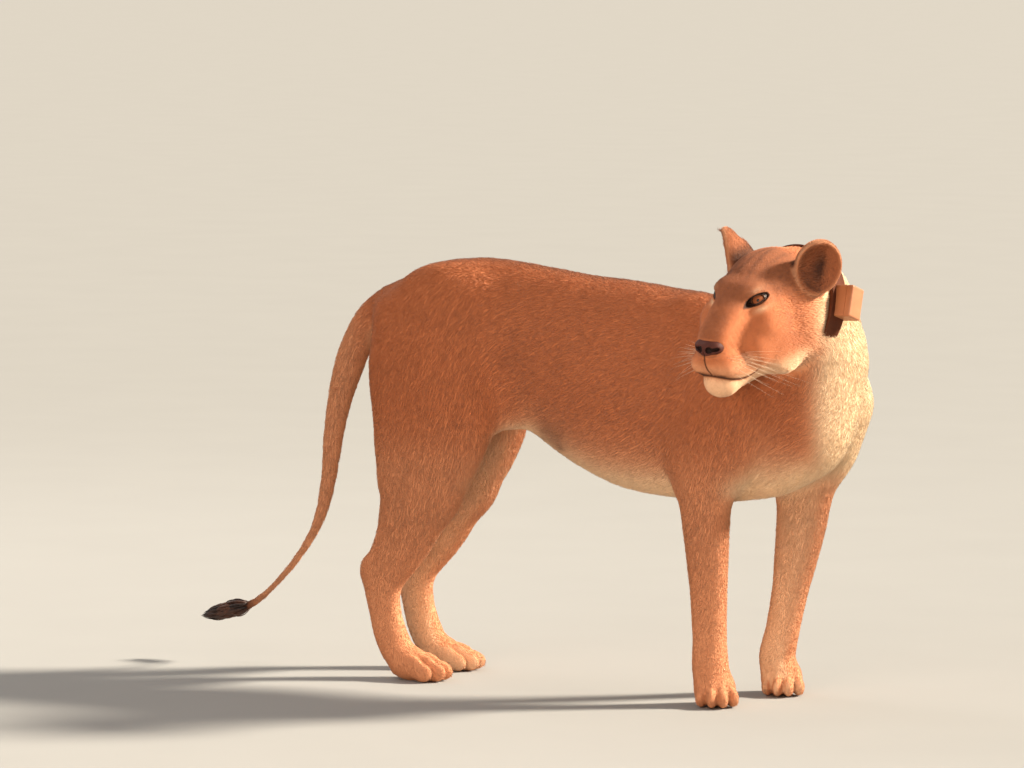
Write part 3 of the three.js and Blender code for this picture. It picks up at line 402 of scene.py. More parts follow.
def hindleg(side):
    back, track, hock = (-16 if side == left else 0), pose["hindTrack"], pose["hockHeight"]

    def s(x, out, z, deep, wide):
        return (x + back, side * track * out, z, deep, wide)

    return {
        "bulk": [
            Limb([  # front of the thigh
                s(10, 0.72, 770, 112, 60), s(30, 0.92, 670, 140, 72), s(48, 1.08, 560, 128, 66),
                s(28, 1.12, 480, 108, 58),
            ]),
            Limb([  # back of the thigh
                s(-88, 0.56, 775, 40, 40), s(-72, 0.88, 660, 52, 50), s(-58, 1.05, 540, 52, 48),
                s(-60, 1.05, 430, 42, 40),
            ]),
            Lump((45 + back, side * 60, 800), (120, 62, 88)),
            Limb([  # knee to toes
                s(58, 1.12, 520, 88, 56), s(8, 1.1, 415, 98, 56), s(-17, 1.07, 360, 82, 50),
                s(-38, 1.04, 307, 70, 43), s(-66, 1.02, 259, 60, 37), s(-86, 1, hock + 2, 52, 34),
                s(-95, 1, 188, 45, 32), s(-90, 1, 150, 40, 31), s(-78, 1, 104, 38, 32),
                s(-60, 1, 62, 35, 35), s(-46, 1, 40, 30, 37),
            ], blend=22),
            Lump((-123 + back, side * track, hock + 10), (30, 22, 34), pitch=0.35, blend=22),
        ],
        "foot": vec(back, side * track, 0),
    }


def paw(length, width, instep):
    toes = []
    for across in (-0.75, -0.26, 0.26, 0.75):
        y = across * width * 0.5
        reach = length * (0.34 if abs(across) > 0.5 else 0.48) - 26
        toes.append(Lump((reach - 26, y * 0.88, 32), (30, width * 0.15, 24), across * 0.2, 0.3))
        toes.append(Lump((reach, y, 20), (29, width * 0.155, 21), across * 0.35))
    ball = Lump((-length * 0.14, 0, 22), (length * 0.34, width * 0.43, 26))
    foot = Lump((-length * 0.16, 0, instep * 0.5), (length * 0.3, width * 0.38, instep * 0.5), pitch=0.35)
    return Fused([ball, foot, *toes], 8)


legEnds = {  # the paw's length, width and instep, and how far each is turned out
    "fore": {"make": foreleg, "paw": (124, 82, 76), "turn": {left: -66, right: -62}},
    "hind": {"make": hindleg, "paw": (136, 88, 68), "turn": {left: 0, right: -5}},
}
legs = []
for side, name in sides:
    for end, s in legEnds.items():
        leg = s["make"](side)
        place = Place(turn(math.radians(s["turn"][side])), leg["foot"])
        foot = Placed(paw(*s["paw"]), place, 20)
        legs.append({**leg, "name": f"{end}leg_{name}", "place": place, "paw": foot})

tailStations = [
    (-60, 0, 806, 36), (-116, 0, 798, 36), (-164, 0, 764, 36), (-198, 0, 715, 35), (-224, 0, 655, 34),
    (-246, -2, 580, 28), (-260, -4, 504, 24), (-269, -6, 424, 20), (-281, -8, 358, 17.5),
    (-302, -8, 302, 15), (-336, -8, 249, 13.5), (-380, -6, 197, 12.5), (-430, -3, 150, 12),
    (-478, 0, 121, 12), (-530, 0, 102, 11),
]
tail = Limb([(*s, s[3]) for s in tailStations], (0, 1, 0), 2, 30)
neck = Limb([
    (764, -48, 660, 176, 136), (862, -56, 704, 150, 132), (886, -76, 772, 118, 110),
    (*headPlace.out((-188, 0, -62)), 104, 102), (*headPlace.out((-120, 0, -36)), 94, 92),
], (0, 0, 1))

earLook = {"outer": (30, 49, 60), "cupAt": (15, 2, 2), "cup": (30, 40, 49)}


def earCup():
    shell = Fused([Lump((0, 0, 0), earLook["outer"]), Lump((-16, 0, -14), (34, 36, 46))], 14)
    return Hollowed(shell, [Lump(earLook["cupAt"], earLook["cup"]), Lump((66, 4, 4), (56, 90, 90))], 7)


def headFlesh():
    up = (0, 0, 1)
    ex, ey, ez = pose["eye"]
    return Fused([
        Lump((-84, 0, 2), (92, 78, 70)),  # brain case
        Lump((-26, 0, 6), (58, 62, 46), pitch=0.2),  # forehead
        *paired(lambda s: Lump((6, s * 28, 24), (28, 30, 20), s * 0.3, 0.2, blend=18)),  # brows
        Limb([  # muzzle
            (-10, 0, -44, 82, 60), (50, 0, -60, 64, 47), (92, 0, -72, 48, 40), (112, 0, -80, 38, 32),
        ], up),
        Limb([  # bridge of the nose
            (14, 0, 14, 20, 36), (50, 0, 0, 19, 36), (78, 0, -20, 19, 37), (102, 0, -36, 17, 36),
            (114, 0, -45, 14, 32),
        ], up, blend=16),
        Limb([  # lower jaw
            (-70, 0, -104, 54, 66), (0, 0, -116, 47, 56), (56, 0, -126, 39, 45), (90, 0, -132, 34, 37),
        ], up),
        Lump((98, 0, -140), (29, 31, 25), blend=18),  # chin
        Lump((-104, 0, -64), (62, 90, 84)),  # back of the jaws
        *paired(lambda s: Lump((-24, s * 52, -38), (62, 34, 42), s * 0.4)),  # cheekbones
        *paired(lambda s: Lump((-6, s * 44, -78), (74, 34, 50), s * 0.3, blend=34)),  # cheeks
        *paired(lambda s: Lump((-58, s * 50, -108), (70, 38, 56), s * 0.25, blend=30)),  # jowls
        *paired(lambda s: Lump((-118, s * 54, -86), (56, 48, 66), s * 0.1, blend=30)),  # ruff
        *paired(lambda s: Lump((102, s * 26, -94), (36, 27, 29), s * 0.18, blend=12)),  # whisker pads
        *paired(lambda s: Lump((64, s * 35, -102), (44, 22, 28), s * -0.16, blend=16)),  # upper lips
        *paired(lambda s: Lump((ex, s * ey, ez), (23, 23, 22), blend=12)),  # sockets
    ], 20)


class Almond:  # the gap between the lids, in the eye's frame, with its floor inside the eyeball
    tilt = 0.05

    def __init__(self, half, high, low, floor, shift):
        self.half, self.high, self.low, self.floor, self.shift = half, high, low, floor, shift
        self.centre, self.reach = vec(30, 0, 0), 34

    def rim(self, b):  # upper and lower edge
        arch = np.sqrt(np.clip(1 - (b / self.half) ** 2, 0, 1)) ** 1.25
        return self.tilt * b + self.high * arch, self.tilt * b - self.low * arch

    def distance(self, p):
        spread = 1 + 0.012 * np.maximum(p[:, 0] - 18, 0)
        b, c = (p[:, 1] - self.shift[0]) / spread, (p[:, 2] - self.shift[1]) / spread
        c -= self.tilt * b
        tall = np.where(c > 0, self.high, self.low)
        ring = np.sqrt((b / self.half) ** 2 + (c / tall) ** 2)
        return np.maximum((ring - 1) * np.minimum(tall, self.half), self.floor - p[:, 0])


lids = {side: Almond(19, 8.6, 6.8, 10, (-3 * side, 5.5)) for side in (left, right)}
bareHead = headFlesh()
earedHead = Fused([bareHead, *paired(lambda s: Placed(earCup(), earPlace(s), 14))], 14)
headField = Hollowed(earedHead, paired(lambda s: Placed(lids[s], eyePlace(s), 2.5)), 2.5)
coatDepth = {"body": 3.6, "head": 2.0, "paw": 1.5, "tail": 2.2}  # the skin's depth under the coat's tips


def fleshUnder(depth):
    folds = paired(lambda s: Lump((187, s * 64, 588), (62, 24, 52)))  # loose skin before each thigh
    limbs = [Eased(part, depth["body"], depth["paw"]) for leg in legs for part in leg["bulk"]]
    limbs += [Eased(leg["paw"], depth["paw"]) for leg in legs]
    trunkParts = [Eased(part, depth["body"]) for part in (trunk, neck, *folds)]
    head = [Eased(neck, depth["body"]), Eased(Placed(headField, headPlace), depth["head"])]
    return Fused([Fused([*trunkParts, Eased(tail, depth["tail"]), *limbs], 40), Fused(head, 34)], 4)


skinField = fleshUnder(coatDepth)
print("stage: form")

netLook = {  # the box and cell of the body's net and, in its own frame, of the head's
    "body": {"low": (-572, -330, -12), "high": (1052, 252, 962), "cell": 8.6},
    "head": {"low": (-262, -178, -215), "high": (178, 178, 142), "cell": 3.1},
    "seam": {"way": (0.6, 0, 0.8), "at": -120, "gap": 3.0, "from": 660},
    "finer": {"pawTop": 96, "pawBack": -220, "muzzle": 74, "head": 190, "eye": (20, 0, 0), "eyeReach": 31},
    "lowest": 0.6,
}


def sampled(field, low, high, cell, block=5):  # the field on a grid, in full only near the skin
    n = np.ceil((high - low) / cell).astype(int) + 1
    m = -(-n // block)
    grids = np.stack(np.meshgrid(*[np.arange(k) for k in m], indexing="ij"), -1).reshape(-1, 3)
    coarse = measured(field, low + (grids * block + (block - 1) / 2) * cell)
    values = coarse.reshape(m)
    for axis in range(3):
        values = np.repeat(values, block, axis)
    values = values[: n[0], : n[1], : n[2]].copy()
    reach = 0.9 * block * cell * math.sqrt(3)
    near = grids[np.abs(coarse) < reach] * block
    steps = np.stack(np.meshgrid(*[np.arange(block)] * 3, indexing="ij"), -1).reshape(-1, 3)
    fine = (near[:, None] + steps[None]).reshape(-1, 3)
    fine = fine[(fine < n).all(1)]
    values[fine[:, 0], fine[:, 1], fine[:, 2]] = measured(field, low + fine * cell)
    return values


def surfaceNet(field, low, high, cell):  # one vertex in each cell that the skin crosses
    low, high = np.array(low, float), np.array(high, float)
    values = sampled(field, low, high, cell)
    inside = values < 0
    corners = np.array([[i >> 2 & 1, i >> 1 & 1, i & 1] for i in range(8)])
    shape = np.array(values.shape) - 1

    def shifted(a, b, c):
        return inside[a : a + shape[0], b : b + shape[1], c : c + shape[2]]

    count = sum(shifted(*corner).astype(int) for corner in corners)
    active = (count > 0) & (count < 8)
    ids = np.full(active.shape, -1)
    cells = np.argwhere(active)
    ids[active] = np.arange(len(cells))
    total, crossings = np.zeros((len(cells), 3)), np.zeros(len(cells))
    for axis in range(3):
        step = np.eye(3, dtype=int)[axis]
        for corner in corners[corners[:, axis] == 0]:
            a = values[tuple((cells + corner).T)]
            b = values[tuple((cells + corner + step).T)]
            hit = (a < 0) != (b < 0)
            total[hit] += corner + np.outer(a[hit] / (a[hit] - b[hit]), step)
            crossings[hit] += 1
    points = low + cell * (cells + total / crossings[:, None])
    quads = []
    for axis in range(3):
        step, u, v = (np.eye(3, dtype=int)[(axis + k) % 3] for k in range(3))
        at = np.argwhere(shifted(0, 0, 0) != shifted(*step))
        at = at[(at[:, (axis + 1) % 3] > 0) & (at[:, (axis + 2) % 3] > 0)]
        quad = np.column_stack([ids[tuple((at - o).T)] for o in (u + v, v, 0 * u, u)])
        out = ~inside[tuple(at.T)]
        quad[out] = quad[out][:, ::-1]
        quads.append(quad)
    return points, np.concatenate(quads)


def slope(field, p, step=0.5):  # the field's value and slope, from four points round each one
    g, mean = np.zeros_like(p), np.zeros(len(p))
    for corner in ((1, 1, 1), (1, -1, -1), (-1, 1, -1), (-1, -1, 1)):
        d = measured(field, p + vec(*corner) * step)
        g += np.outer(d, corner) / (4 * step)
        mean += d / 4
    return mean, g


def settle(field, p, times=2, most=4.0):  # moves points on to the skin
    p = p.copy()
    for _ in range(times):
        d, g = slope(field, p)
        off = -d / np.maximum((g * g).sum(1), 0.05)
        p += g * np.clip(off, -most, most)[:, None]
    return p


def netMesh(points, faces):
    mesh = bpy.data.meshes.new("net")
    mesh.from_pydata(points.tolist(), [], faces.tolist())
    grid = bmesh.new()
    grid.from_mesh(mesh)
    bpy.data.meshes.remove(mesh)
    return grid


def cutAtSeam(grid, keepHead):  # the two nets meet on a plane from the nape to the throat
    s = netLook["seam"]
    way = headPlace.way(s["way"])
    middle = headPlace.out(vec(*s["way"]) * s["at"]) + way * s["gap"] * (1 if keepHead else -1)
    near = [f for f in grid.faces if f.calc_center_median().x > s["from"]]
    edges = dict.fromkeys(e for f in near for e in f.edges)  # in order, so that each run gives the same net
    verts = dict.fromkeys(v for f in near for v in f.verts)
    bmesh.ops.bisect_plane(grid, geom=[*near, *edges, *verts], plane_co=middle, plane_no=way, dist=1e-3,
                           clear_outer=not keepHead, clear_inner=keepHead)


def cutFiner(grid, s):  # smaller faces on the paws, the muzzle and round the eyes
    middles = np.array([f.calc_center_median() for f in grid.faces])
    h = headPlace.into(middles)
    fine = (middles[:, 2] < s["pawTop"]) & (middles[:, 0] > s["pawBack"])
    fine |= (h[:, 0] > s["muzzle"]) & (np.abs(h).max(1) < s["head"])
    for side, _ in sides:
        fine |= lengths(h - eyePlace(side).out(s["eye"])) < s["eyeReach"]
    edges = dict.fromkeys(e for f, wanted in zip(grid.faces, fine) if wanted for e in f.edges)
    bmesh.ops.subdivide_edges(grid, edges=list(edges), cuts=1, use_grid_fill=True)


def makeSkin(s):
    points, faces = surfaceNet(skinField, **s["body"])
    print("  body net", len(points))
    grid = netMesh(points, faces)
    cutAtSeam(grid, False)
    points, faces = surfaceNet(Placed(skinField, headPlace.undone()), **s["head"])
    print("  head net", len(points))
    headGrid = netMesh(headPlace.out(points), faces)
    cutAtSeam(headGrid, True)
    extra = bpy.data.meshes.new("head")
    headGrid.to_mesh(extra)
    grid.from_mesh(extra)
    rims = [e for e in grid.edges if e.is_boundary]
    bmesh.ops.bridge_loops(grid, edges=rims)
    print("  edges joined", len(rims), "left open", sum(e.is_boundary for e in grid.edges))
    cutFiner(grid, s["finer"])
    bmesh.ops.triangulate(grid, faces=grid.faces[:])
    mesh = bpy.data.meshes.new("skin")
    grid.to_mesh(mesh)
    co = np.empty(len(mesh.vertices) * 3)
    mesh.vertices.foreach_get("co", co)
    points = settle(skinField, co.reshape(-1, 3))
    ends = np.empty(len(mesh.edges) * 2, np.int64)
    mesh.edges.foreach_get("vertices", ends)
    points[:, 2] = np.maximum(points[:, 2], s["lowest"])
    return mesh, points, ends.reshape(-1, 2)


def evened(values, times, share):  # each point's value drawn towards its neighbours' mean
    ends = np.concatenate([skinEdges, skinEdges[:, ::-1]])
    count = np.bincount(ends[:, 0], minlength=len(values))

    def around(v):
        return np.bincount(ends[:, 0], v[ends[:, 1]], len(values)) / count

    for _ in range(times):
        if values.ndim == 1:
            values = values + (around(values) - values) * share
        else:
            mean = np.column_stack([around(v) for v in values.T])
            values = values + (mean - values) * share[:, None]
    return values


skinMesh, skinPoints, skinEdges = makeSkin(netLook)


def headShare(p):  # 1 on the head's own skin, falling to 0 down the nape and throat
    share = smoothstep(headPlace.into(p)[:, 0], -150, -110)
    near = np.nonzero(share)[0]
    share[near] *= 1 - smoothstep(measured(Placed(earedHead, headPlace), p[near]), 4, 12)
    return share


# The head and the paws aren't evened out.
calm = 0.5 * smoothstep(skinPoints[:, 2], 90, 160) * (1 - headShare(skinPoints))
skinPoints = evened(skinPoints, 6, calm)
print("stage: skin net", len(skinMesh.polygons))

skinNormals = evened(slope(skinField, skinPoints)[1], 6, calm)
skinNormals /= lengths(skinNormals)[:, None]
onHead = headShare(skinPoints)


def inCup(e, wider):  # under 1 inside the ear's cup, which is made wider for it, in the ear's frame
    return lengths((e - vec(*earLook["cupAt"])) / (vec(*earLook["cup"]) + wider))


def layOfCoat(p, normals):  # back over the head and trunk, down the legs and towards the tail's tip
    total = np.zeros_like(p)
    h = headPlace.into(p)
    level = np.zeros(len(p))

    def add(distance, way, reach=22.0):  # a form's own way counts for less, the farther off it is
        nonlocal total
        total += np.exp(-np.clip(distance, -4, 400) / reach)[:, None] * way

    add(trunk.distance(p), np.column_stack([level - 1, level, -0.30 - 0.25 * np.abs(normals[:, 1])]))
    d, where = neck.nearest(p)
    add(d, -neck.way(where))
    d, where = tail.nearest(p)
    add(d - 6, tail.way(where))
    for leg in legs:
        for part in leg["bulk"]:
            add(part.distance(p) + 4, vec(-0.28, 0, -1))
        toes = leg["place"].way((0.75, 0, -0.65))
        add(leg["paw"].distance(p) - 2 + np.maximum(p[:, 2] - 60, 0), toes)
    outward = 0.5 * np.sign(h[:, 1]) * smoothstep(np.abs(h[:, 1]), 8, 60)
    back = np.column_stack([level - 1, outward, -0.45 * smoothstep(-h[:, 2], 10, 90)]) @ headPlace.axes.T
    add(Placed(bareHead, headPlace).distance(p), back)
    for side, _ in sides:
        ear = headPlace.then(earPlace(side))
        e = ear.into(p)
        inner = ((inCup(e, 6) < 1) & (e[:, 1] * side < 6))[:, None]
        ways = np.where(inner, ear.way((0.55, side * 0.8, 0.45)), ear.way((-0.35, side * 0.2, 1)))
        add(Placed(earCup(), ear).distance(p) - 6, ways, 5)
    total -= (total * normals).sum(1)[:, None] * normals
    return total / np.maximum(lengths(total), 1e-9)[:, None]


lay = layOfCoat(skinPoints, skinNormals)


def nearCurve(p, curve):  # distance from each point to a chain of straight pieces
    best = np.full(len(p), np.inf)
    for a, b in zip(curve[:-1], curve[1:]):
        t = np.clip(((p - a) @ (b - a)) / ((b - a) @ (b - a)), 0, 1)
        best = np.minimum(best, lengths(p - a - t[:, None] * (b - a)))
    return best


noseLook = {  # the place and radii of each form, in the head's frame
    "pad": ((126, 0, -53), (19, 27, 13.5)), "tip": ((128, 0, -65), (13, 13, 13)), "pitch": 0.4,
    "wing": ((121, 19, -54), (16, 12, 12)), "nostril": ((140, 10.5, -55), (12, 6.5, 6)),
    "slit": ((133, 21, -54), (14, 8, 3.6)), "parting": ((148, 0, -70), (8, 1.5, 18)),
    "net": {"low": (100, -36, -86), "high": (156, 36, -32), "cell": 1.4},
}


def onBothSides(form, yaw=0.0, blend=None):
    (x, y, z), radii = form
    return paired(lambda s: Lump((x, s * y, z), radii, s * yaw, blend=blend))


def noseField():
    s = noseLook
    pad = Fused([Lump(*s["pad"], pitch=s["pitch"]), *onBothSides(s["wing"]), Lump(*s["tip"])], 8)
    holes = [*onBothSides(s["nostril"], 0.5, 3), *onBothSides(s["slit"], 0.9, 3)]
    return Hollowed(pad, [*holes, Lump(*s["parting"], blend=3)], 3)


whiskerLook = {
    "rows": 4, "each": 5, "first": (116, 34, -80), "perHair": (-10, 3.4, 0.8), "perRow": (-3, 0, -7.5),
    "short": 50, "long": 96, "uneven": 6, "stray": 0.06, "droop": 0.28, "radius": 0.27,
    "rings": 8, "seed": 9,
}


def whiskerRoots(side, depth):  # in the head's frame, set on the skin at a depth under the coat's tips
    s = whiskerLook
    row, hair = divmod(np.arange(s["rows"] * s["each"]), s["each"])
    roots = vec(*s["first"]) + np.outer(row, s["perRow"]) + np.outer(hair, s["perHair"])
    return settle(Eased(bareHead, depth), roots * vec(1, side, 1), 4, 8.0)


def spotsOn(p, centres, radius):  # 1 at each centre, falling off within the radius
    share = np.zeros(len(p))
    for centre in centres:
        near = np.nonzero(np.abs(p[:, 0] - centre[0]) < 3 * radius)[0]
        share[near] = np.maximum(share[near], bump(lengths(p[near] - centre), radius))
    return share


mouthLine = curvePoints([
    (132, -110, 0), (120, -118, 0), (100, -126, 0), (78, -131, 0), (58, -129, 0), (44, -121, 0),
], np.linspace(0, 1, 30))[:, :2]
marksLook = {  # how strong each marking and each painted light or shade is, and where the small ones stand
    "belly": 0.95, "insideLegs": 0.75, "feet": 0.35, "chin": 0.66, "pads": 0.5, "jowls": 0.8, "ruff": 0.98,
    "throat": 0.95, "lowerLegs": 0.42, "paintedTailLight": 0.5, "underEyes": 0.8, "overEyes": 0.75,
    "earEdges": 0.6, "lidEdges": 1.0, "tears": 0.85, "earBacks": 0.75, "earHollowShade": 0.96, "lips": 0.95,
    "whiskerSpots": 0.42, "noseEdge": 1.0, "philtrum": 1.0, "teats": 0.7, "spots": 0.4, "tailTip": 1.0,
    "ears": 0.35, "cups": 0.5, "crown": 0.66, "stripes": 0.3, "bridge": 0.5, "ridge": 0.55, "tail": 0.4,
    "bellyShade": 0.5, "bellyShadeAt": ((318, -80, 541), (44, 50, 36)), "teat": (321, 70, 512),
    "ruffAt": ((-130, 0, -86), (52, 400, 74)), "ridgeLine": ([500, 880], [14, 84]),
    "tearLine": [(22, 33, -6), (33, 31, -18), (48, 31, -34)],
    "spotsBox": ((-90, 20, 250), (150, 110, 560)), "spotCount": 34, "spotRadius": 5.0, "seed": 3,
}


def patchAt(p, place):  # 1 at a place, falling off with its radii
    centre, radii = place
    return bump(lengths((p - vec(*centre)) / vec(*radii)))


def marksAndPaintedLight(p, n, onHead):
    s, offHead = marksLook, 1 - onHead
    h, hn = headPlace.into(p), n @ headPlace.axes
    (px, py, pz), (hx, hy, hz), across = p.T, h.T, np.abs(h[:, 1])
    found = {kind: np.zeros(len(p)) for kind in ("pale", "dusk", "dark")}

    def mark(kind, strength, mask):
        found[kind] = np.maximum(found[kind], strength * mask)

    mark("pale", s["belly"], smoothstep(-n[:, 2], 0.1, 0.8) * offHead * smoothstep(pz, 300, 420))
    inward = smoothstep(-n[:, 1] * np.where(py > -20, 1, -1), 0.2, 0.8)
    mark("pale", s["insideLegs"], inward * smoothstep(-pz, -620, -480) * (px > -200) * offHead)
    mark("pale", s["feet"], smoothstep(-pz, -200, -60) * (px > -190))
    mark("pale", s["chin"], onHead * smoothstep(-hz, 116, 136))
    mark("pale", s["pads"], onHead * smoothstep(-hz, 72, 98) * smoothstep(hx, 46, 66))
    mark("pale", s["jowls"], onHead * smoothstep(-hz, 84, 132) * smoothstep(hx, -150, -60))
    # pale cheek ruff: the cheeks' own pale fur, made paler still as painted sunlight on the ruff
    ruff = patchAt(h, s["ruffAt"]) * smoothstep(across, 50, 80) * smoothstep(-across, -165, -125)
    mark("pale", s["ruff"], ruff)
    # pale throat and chest front: the throat's own pale fur, spread over the chest's sunward side as
    # painted sunlight
    mark("pale", s["throat"], smoothstep(px + 0.35 * py, 840, 905) * smoothstep(pz, 360, 500) * offHead)
    mark("pale", s["lowerLegs"], smoothstep(-pz, -600, -450) * offHead)
    # painted sunlight on the tail: all behind the rump is made paler
    mark("pale", s["paintedTailLight"], smoothstep(-px, 140, 210))
    for side, _ in sides:
        eye = eyePlace(side).into(h)
        near = lengths(eye - vec(18, 0, 0))
        b, c = eye[:, 1] * side, eye[:, 2] - lids[side].shift[1]
        mark("pale", s["underEyes"], onHead * (near < 60) * bump(c + 19, 8) * bump(b + 2, 20))
        mark("pale", s["overEyes"], onHead * (near < 60) * bump(c - 19, 7) * bump(b - 2, 17))
        rim = np.abs(lids[side].distance(eye))
        mark("dark", s["lidEdges"], (near < 40) * onHead * (1 - smoothstep(rim, 1.6, 4.0)))
        tear = nearCurve(h, np.array(s["tearLine"]) * vec(1, side, 1))
        mark("dark", s["tears"], onHead * bump(tear, 4.2))
        ear = earPlace(side).into(h)
        onEar = smoothstep(-np.abs(Placed(earCup(), earPlace(side)).distance(h)), -9, -4)
        cup = smoothstep(1 - inCup(ear, 4), -0.1, 0.1)
        mark("dusk", s["ears"] * (1 - cup) + s["cups"] * cup, onEar)
        hind = smoothstep(-ear[:, 2], -26, 4) * smoothstep(-ear[:, 0], -6, 8)
        mark("dark", s["earBacks"], onEar * (1 - cup) * hind)
        # painted shade deep in each ear's hollow
        deep = np.hypot((ear[:, 1] - 3) / 15, (ear[:, 2] + 8) / 27)
        mark("dark", s["earHollowShade"], onEar * cup * bump(deep))
        found["pale"] *= 1 - onEar
        mark("pale", s["earEdges"], onEar * (1 - cup) * smoothstep(ear[:, 0], -8, 6))
        mark("dark", s["whiskerSpots"], onHead * spotsOn(h, whiskerRoots(side, coatDepth["head"]), 2.1))
    mouth = nearCurve(np.column_stack([hx, hz]), mouthLine)
    lipped = smoothstep(hx, 40, 52) * onHead * (np.abs(hn[:, 1]) + np.abs(hn[:, 0]) > 0.3)
    mark("dark", s["lips"], lipped * bump(mouth, 2.6))
    mark("dark", s["noseEdge"], onHead * (1 - smoothstep(noseField().body.distance(h), -1.0, 0.4)))
    mark("dark", s["philtrum"], onHead * bump(hy, 1.8) * (hx > 108) * (hz > -114) * (hz < -60))
    crown = smoothstep(hz, -20, 30) * (1 - smoothstep(across, 60, 110))
    stripes = bump(across - 16 - 0.1 * hx, 5) + bump(across - 36, 5) * 0.6
    mark("dusk", s["crown"] + s["stripes"] * stripes * smoothstep(-hx, -20, 30), onHead * crown)
    mark("dusk", s["bridge"], onHead * smoothstep(hx, 30, 90) * smoothstep(-across, -34, -16) * (hz > -70))
    ridge = bump(py + np.interp(px, *s["ridgeLine"]) - 14, 22)
    mark("dusk", s["ridge"], ridge * smoothstep(n[:, 2], 0.6, 0.95) * offHead * (pz > 600))
    mark("dusk", s["tail"], smoothstep(-px, 300, 450))
    # painted shade: a dusky patch low on the near side of the belly
    mark("dusk", s["bellyShade"], patchAt(p, s["bellyShadeAt"]))
    mark("dark", s["teats"], spotsOn(p, [s["teat"] * vec(1, side, 1) for side, _ in sides], 9))
    spots = np.random.default_rng(s["seed"]).uniform(*s["spotsBox"], (s["spotCount"], 3))
    mark("dark", s["spots"], spotsOn(p, spots, s["spotRadius"]))
    mark("dark", s["tailTip"], smoothstep(-px, 440, 490))
    return {**found, "pale": found["pale"] * (1 - found["dark"])}


marks = marksAndPaintedLight(skinPoints, skinNormals, onHead)
marks["pale"] = evened(marks["pale"], 12, calm)
print("stage: lie and markings")


def shaped(name, points, faces, smooth=True):  # a mesh object at the origin, from millimetre points
    mesh = bpy.data.meshes.new(name)
    mesh.from_pydata(metres(points).tolist(), [], [list(map(int, f)) for f in faces])
    mesh.polygons.foreach_set("use_smooth", [smooth] * len(mesh.polygons))
    return inScene(bpy.data.objects.new(name, mesh))


def addAttribute(mesh, name, values):
    values = np.asarray(values, np.float32)
    kind = "FLOAT_VECTOR" if values.ndim == 2 else "FLOAT"
    layer = mesh.attributes.new(name, kind, "POINT")
    layer.data.foreach_set("vector" if values.ndim == 2 else "value", values.ravel())


class Wire:  # a socket that takes part in sums
    def __init__(self, maker, socket):
        self.maker, self.socket = maker, socket

    def sum(self, operation, other, swap=False):
        pair = [other, self] if swap else [self, other]
        return self.maker.node("ShaderNodeMath", {"operation": operation}, pair)

    def __add__(self, other):
        return self.sum("ADD", other)

    def __sub__(self, other):
        return self.sum("SUBTRACT", other)

    def __rsub__(self, other):
        return self.sum("SUBTRACT", other, True)

    def __mul__(self, other):
        return self.sum("MULTIPLY", other)

    def __truediv__(self, other):
        return self.sum("DIVIDE", other)

    def __rtruediv__(self, other):
        return self.sum("DIVIDE", other, True)

    __radd__, __rmul__ = __add__, __mul__

    def other(self, output):  # another output of the same node
        return Wire(self.maker, self.socket.node.outputs[output])


class Maker:  # adds nodes to a tree
    def __init__(self, tree):
        self.tree = tree

    def node(self, kind, settings=None, inputs=(), output=0):
        made = self.tree.nodes.new(kind)
        for key, value in (settings or {}).items():
            setattr(made, key, value)
        for key, value in inputs.items() if isinstance(inputs, dict) else enumerate(inputs):
            if isinstance(value, Wire):
                self.tree.links.new(value.socket, made.inputs[key])
            else:
                made.inputs[key].default_value = value
        return Wire(self, made.outputs[output])

    def mixed(self, mask, a, b, blend="MIX"):
        a, b = (c if isinstance(c, Wire) else (*c, 1) for c in (a, b))
        settings = {"data_type": "RGBA", "blend_type": blend}
        return self.node("ShaderNodeMix", settings, {0: mask, 6: a, 7: b}, 2)

    def vector(self, operation, inputs):
        return self.node("ShaderNodeVectorMath", {"operation": operation}, inputs)

    def noise(self, where, scale, detail=2.0):
        return self.node("ShaderNodeTexNoise", {}, {"Vector": where, "Scale": scale, "Detail": detail})

    def cells(self, where, scale):
        return self.node("ShaderNodeTexVoronoi", {}, {"Vector": where, "Scale": scale})

    def bumps(self, strength, distance, height):
        inputs = {"Strength": strength, "Distance": distance, "Height": height}
        return self.node("ShaderNodeBump", {}, inputs)

    def rise(self, value, low, high):  # from 0 below one value to 1 above another
        inputs = {"Value": value, "From Min": low, "From Max": high}
        return self.node("ShaderNodeMapRange", {"interpolation_type": "SMOOTHSTEP"}, inputs)

    def attribute(self, name):
        return self.node("ShaderNodeAttribute", {"attribute_name": name}, (), "Fac")


def finish(name, constants, varying):  # a material: fixed sockets, and a function that links the rest
    material = bpy.data.materials.new(name)
    material.use_nodes = True
    tree = material.node_tree
    shader = tree.nodes["Principled BSDF"]
    for key, value in constants.items():
        shader.inputs[key].default_value = value
    maker = Maker(tree)
    where = maker.node("ShaderNodeTexCoord", {}, (), "Object")
    for key, wire in varying(maker, where).items():
        tree.links.new(wire.socket, shader.inputs[key])
    return material


def rgb(r, g, b):  # from 0-255 screen values
    return tuple(((c / 255 + 0.055) / 1.055) ** 2.4 for c in (r, g, b))


furLook = {
    "tawny": rgb(184, 112, 72), "warm": rgb(198, 120, 76), "pale": rgb(234, 164, 118),
    "cream": rgb(255, 230, 192), "dusk": rgb(122, 74, 50), "dark": rgb(34, 19, 15),
    "shadow": (0.42, 0.36, 0.32), "shadowShare": 0.26, "dullTuft": (0.84, 0.81, 0.78),
    "patches": 9, "fine": 130, "grain": 420,
}


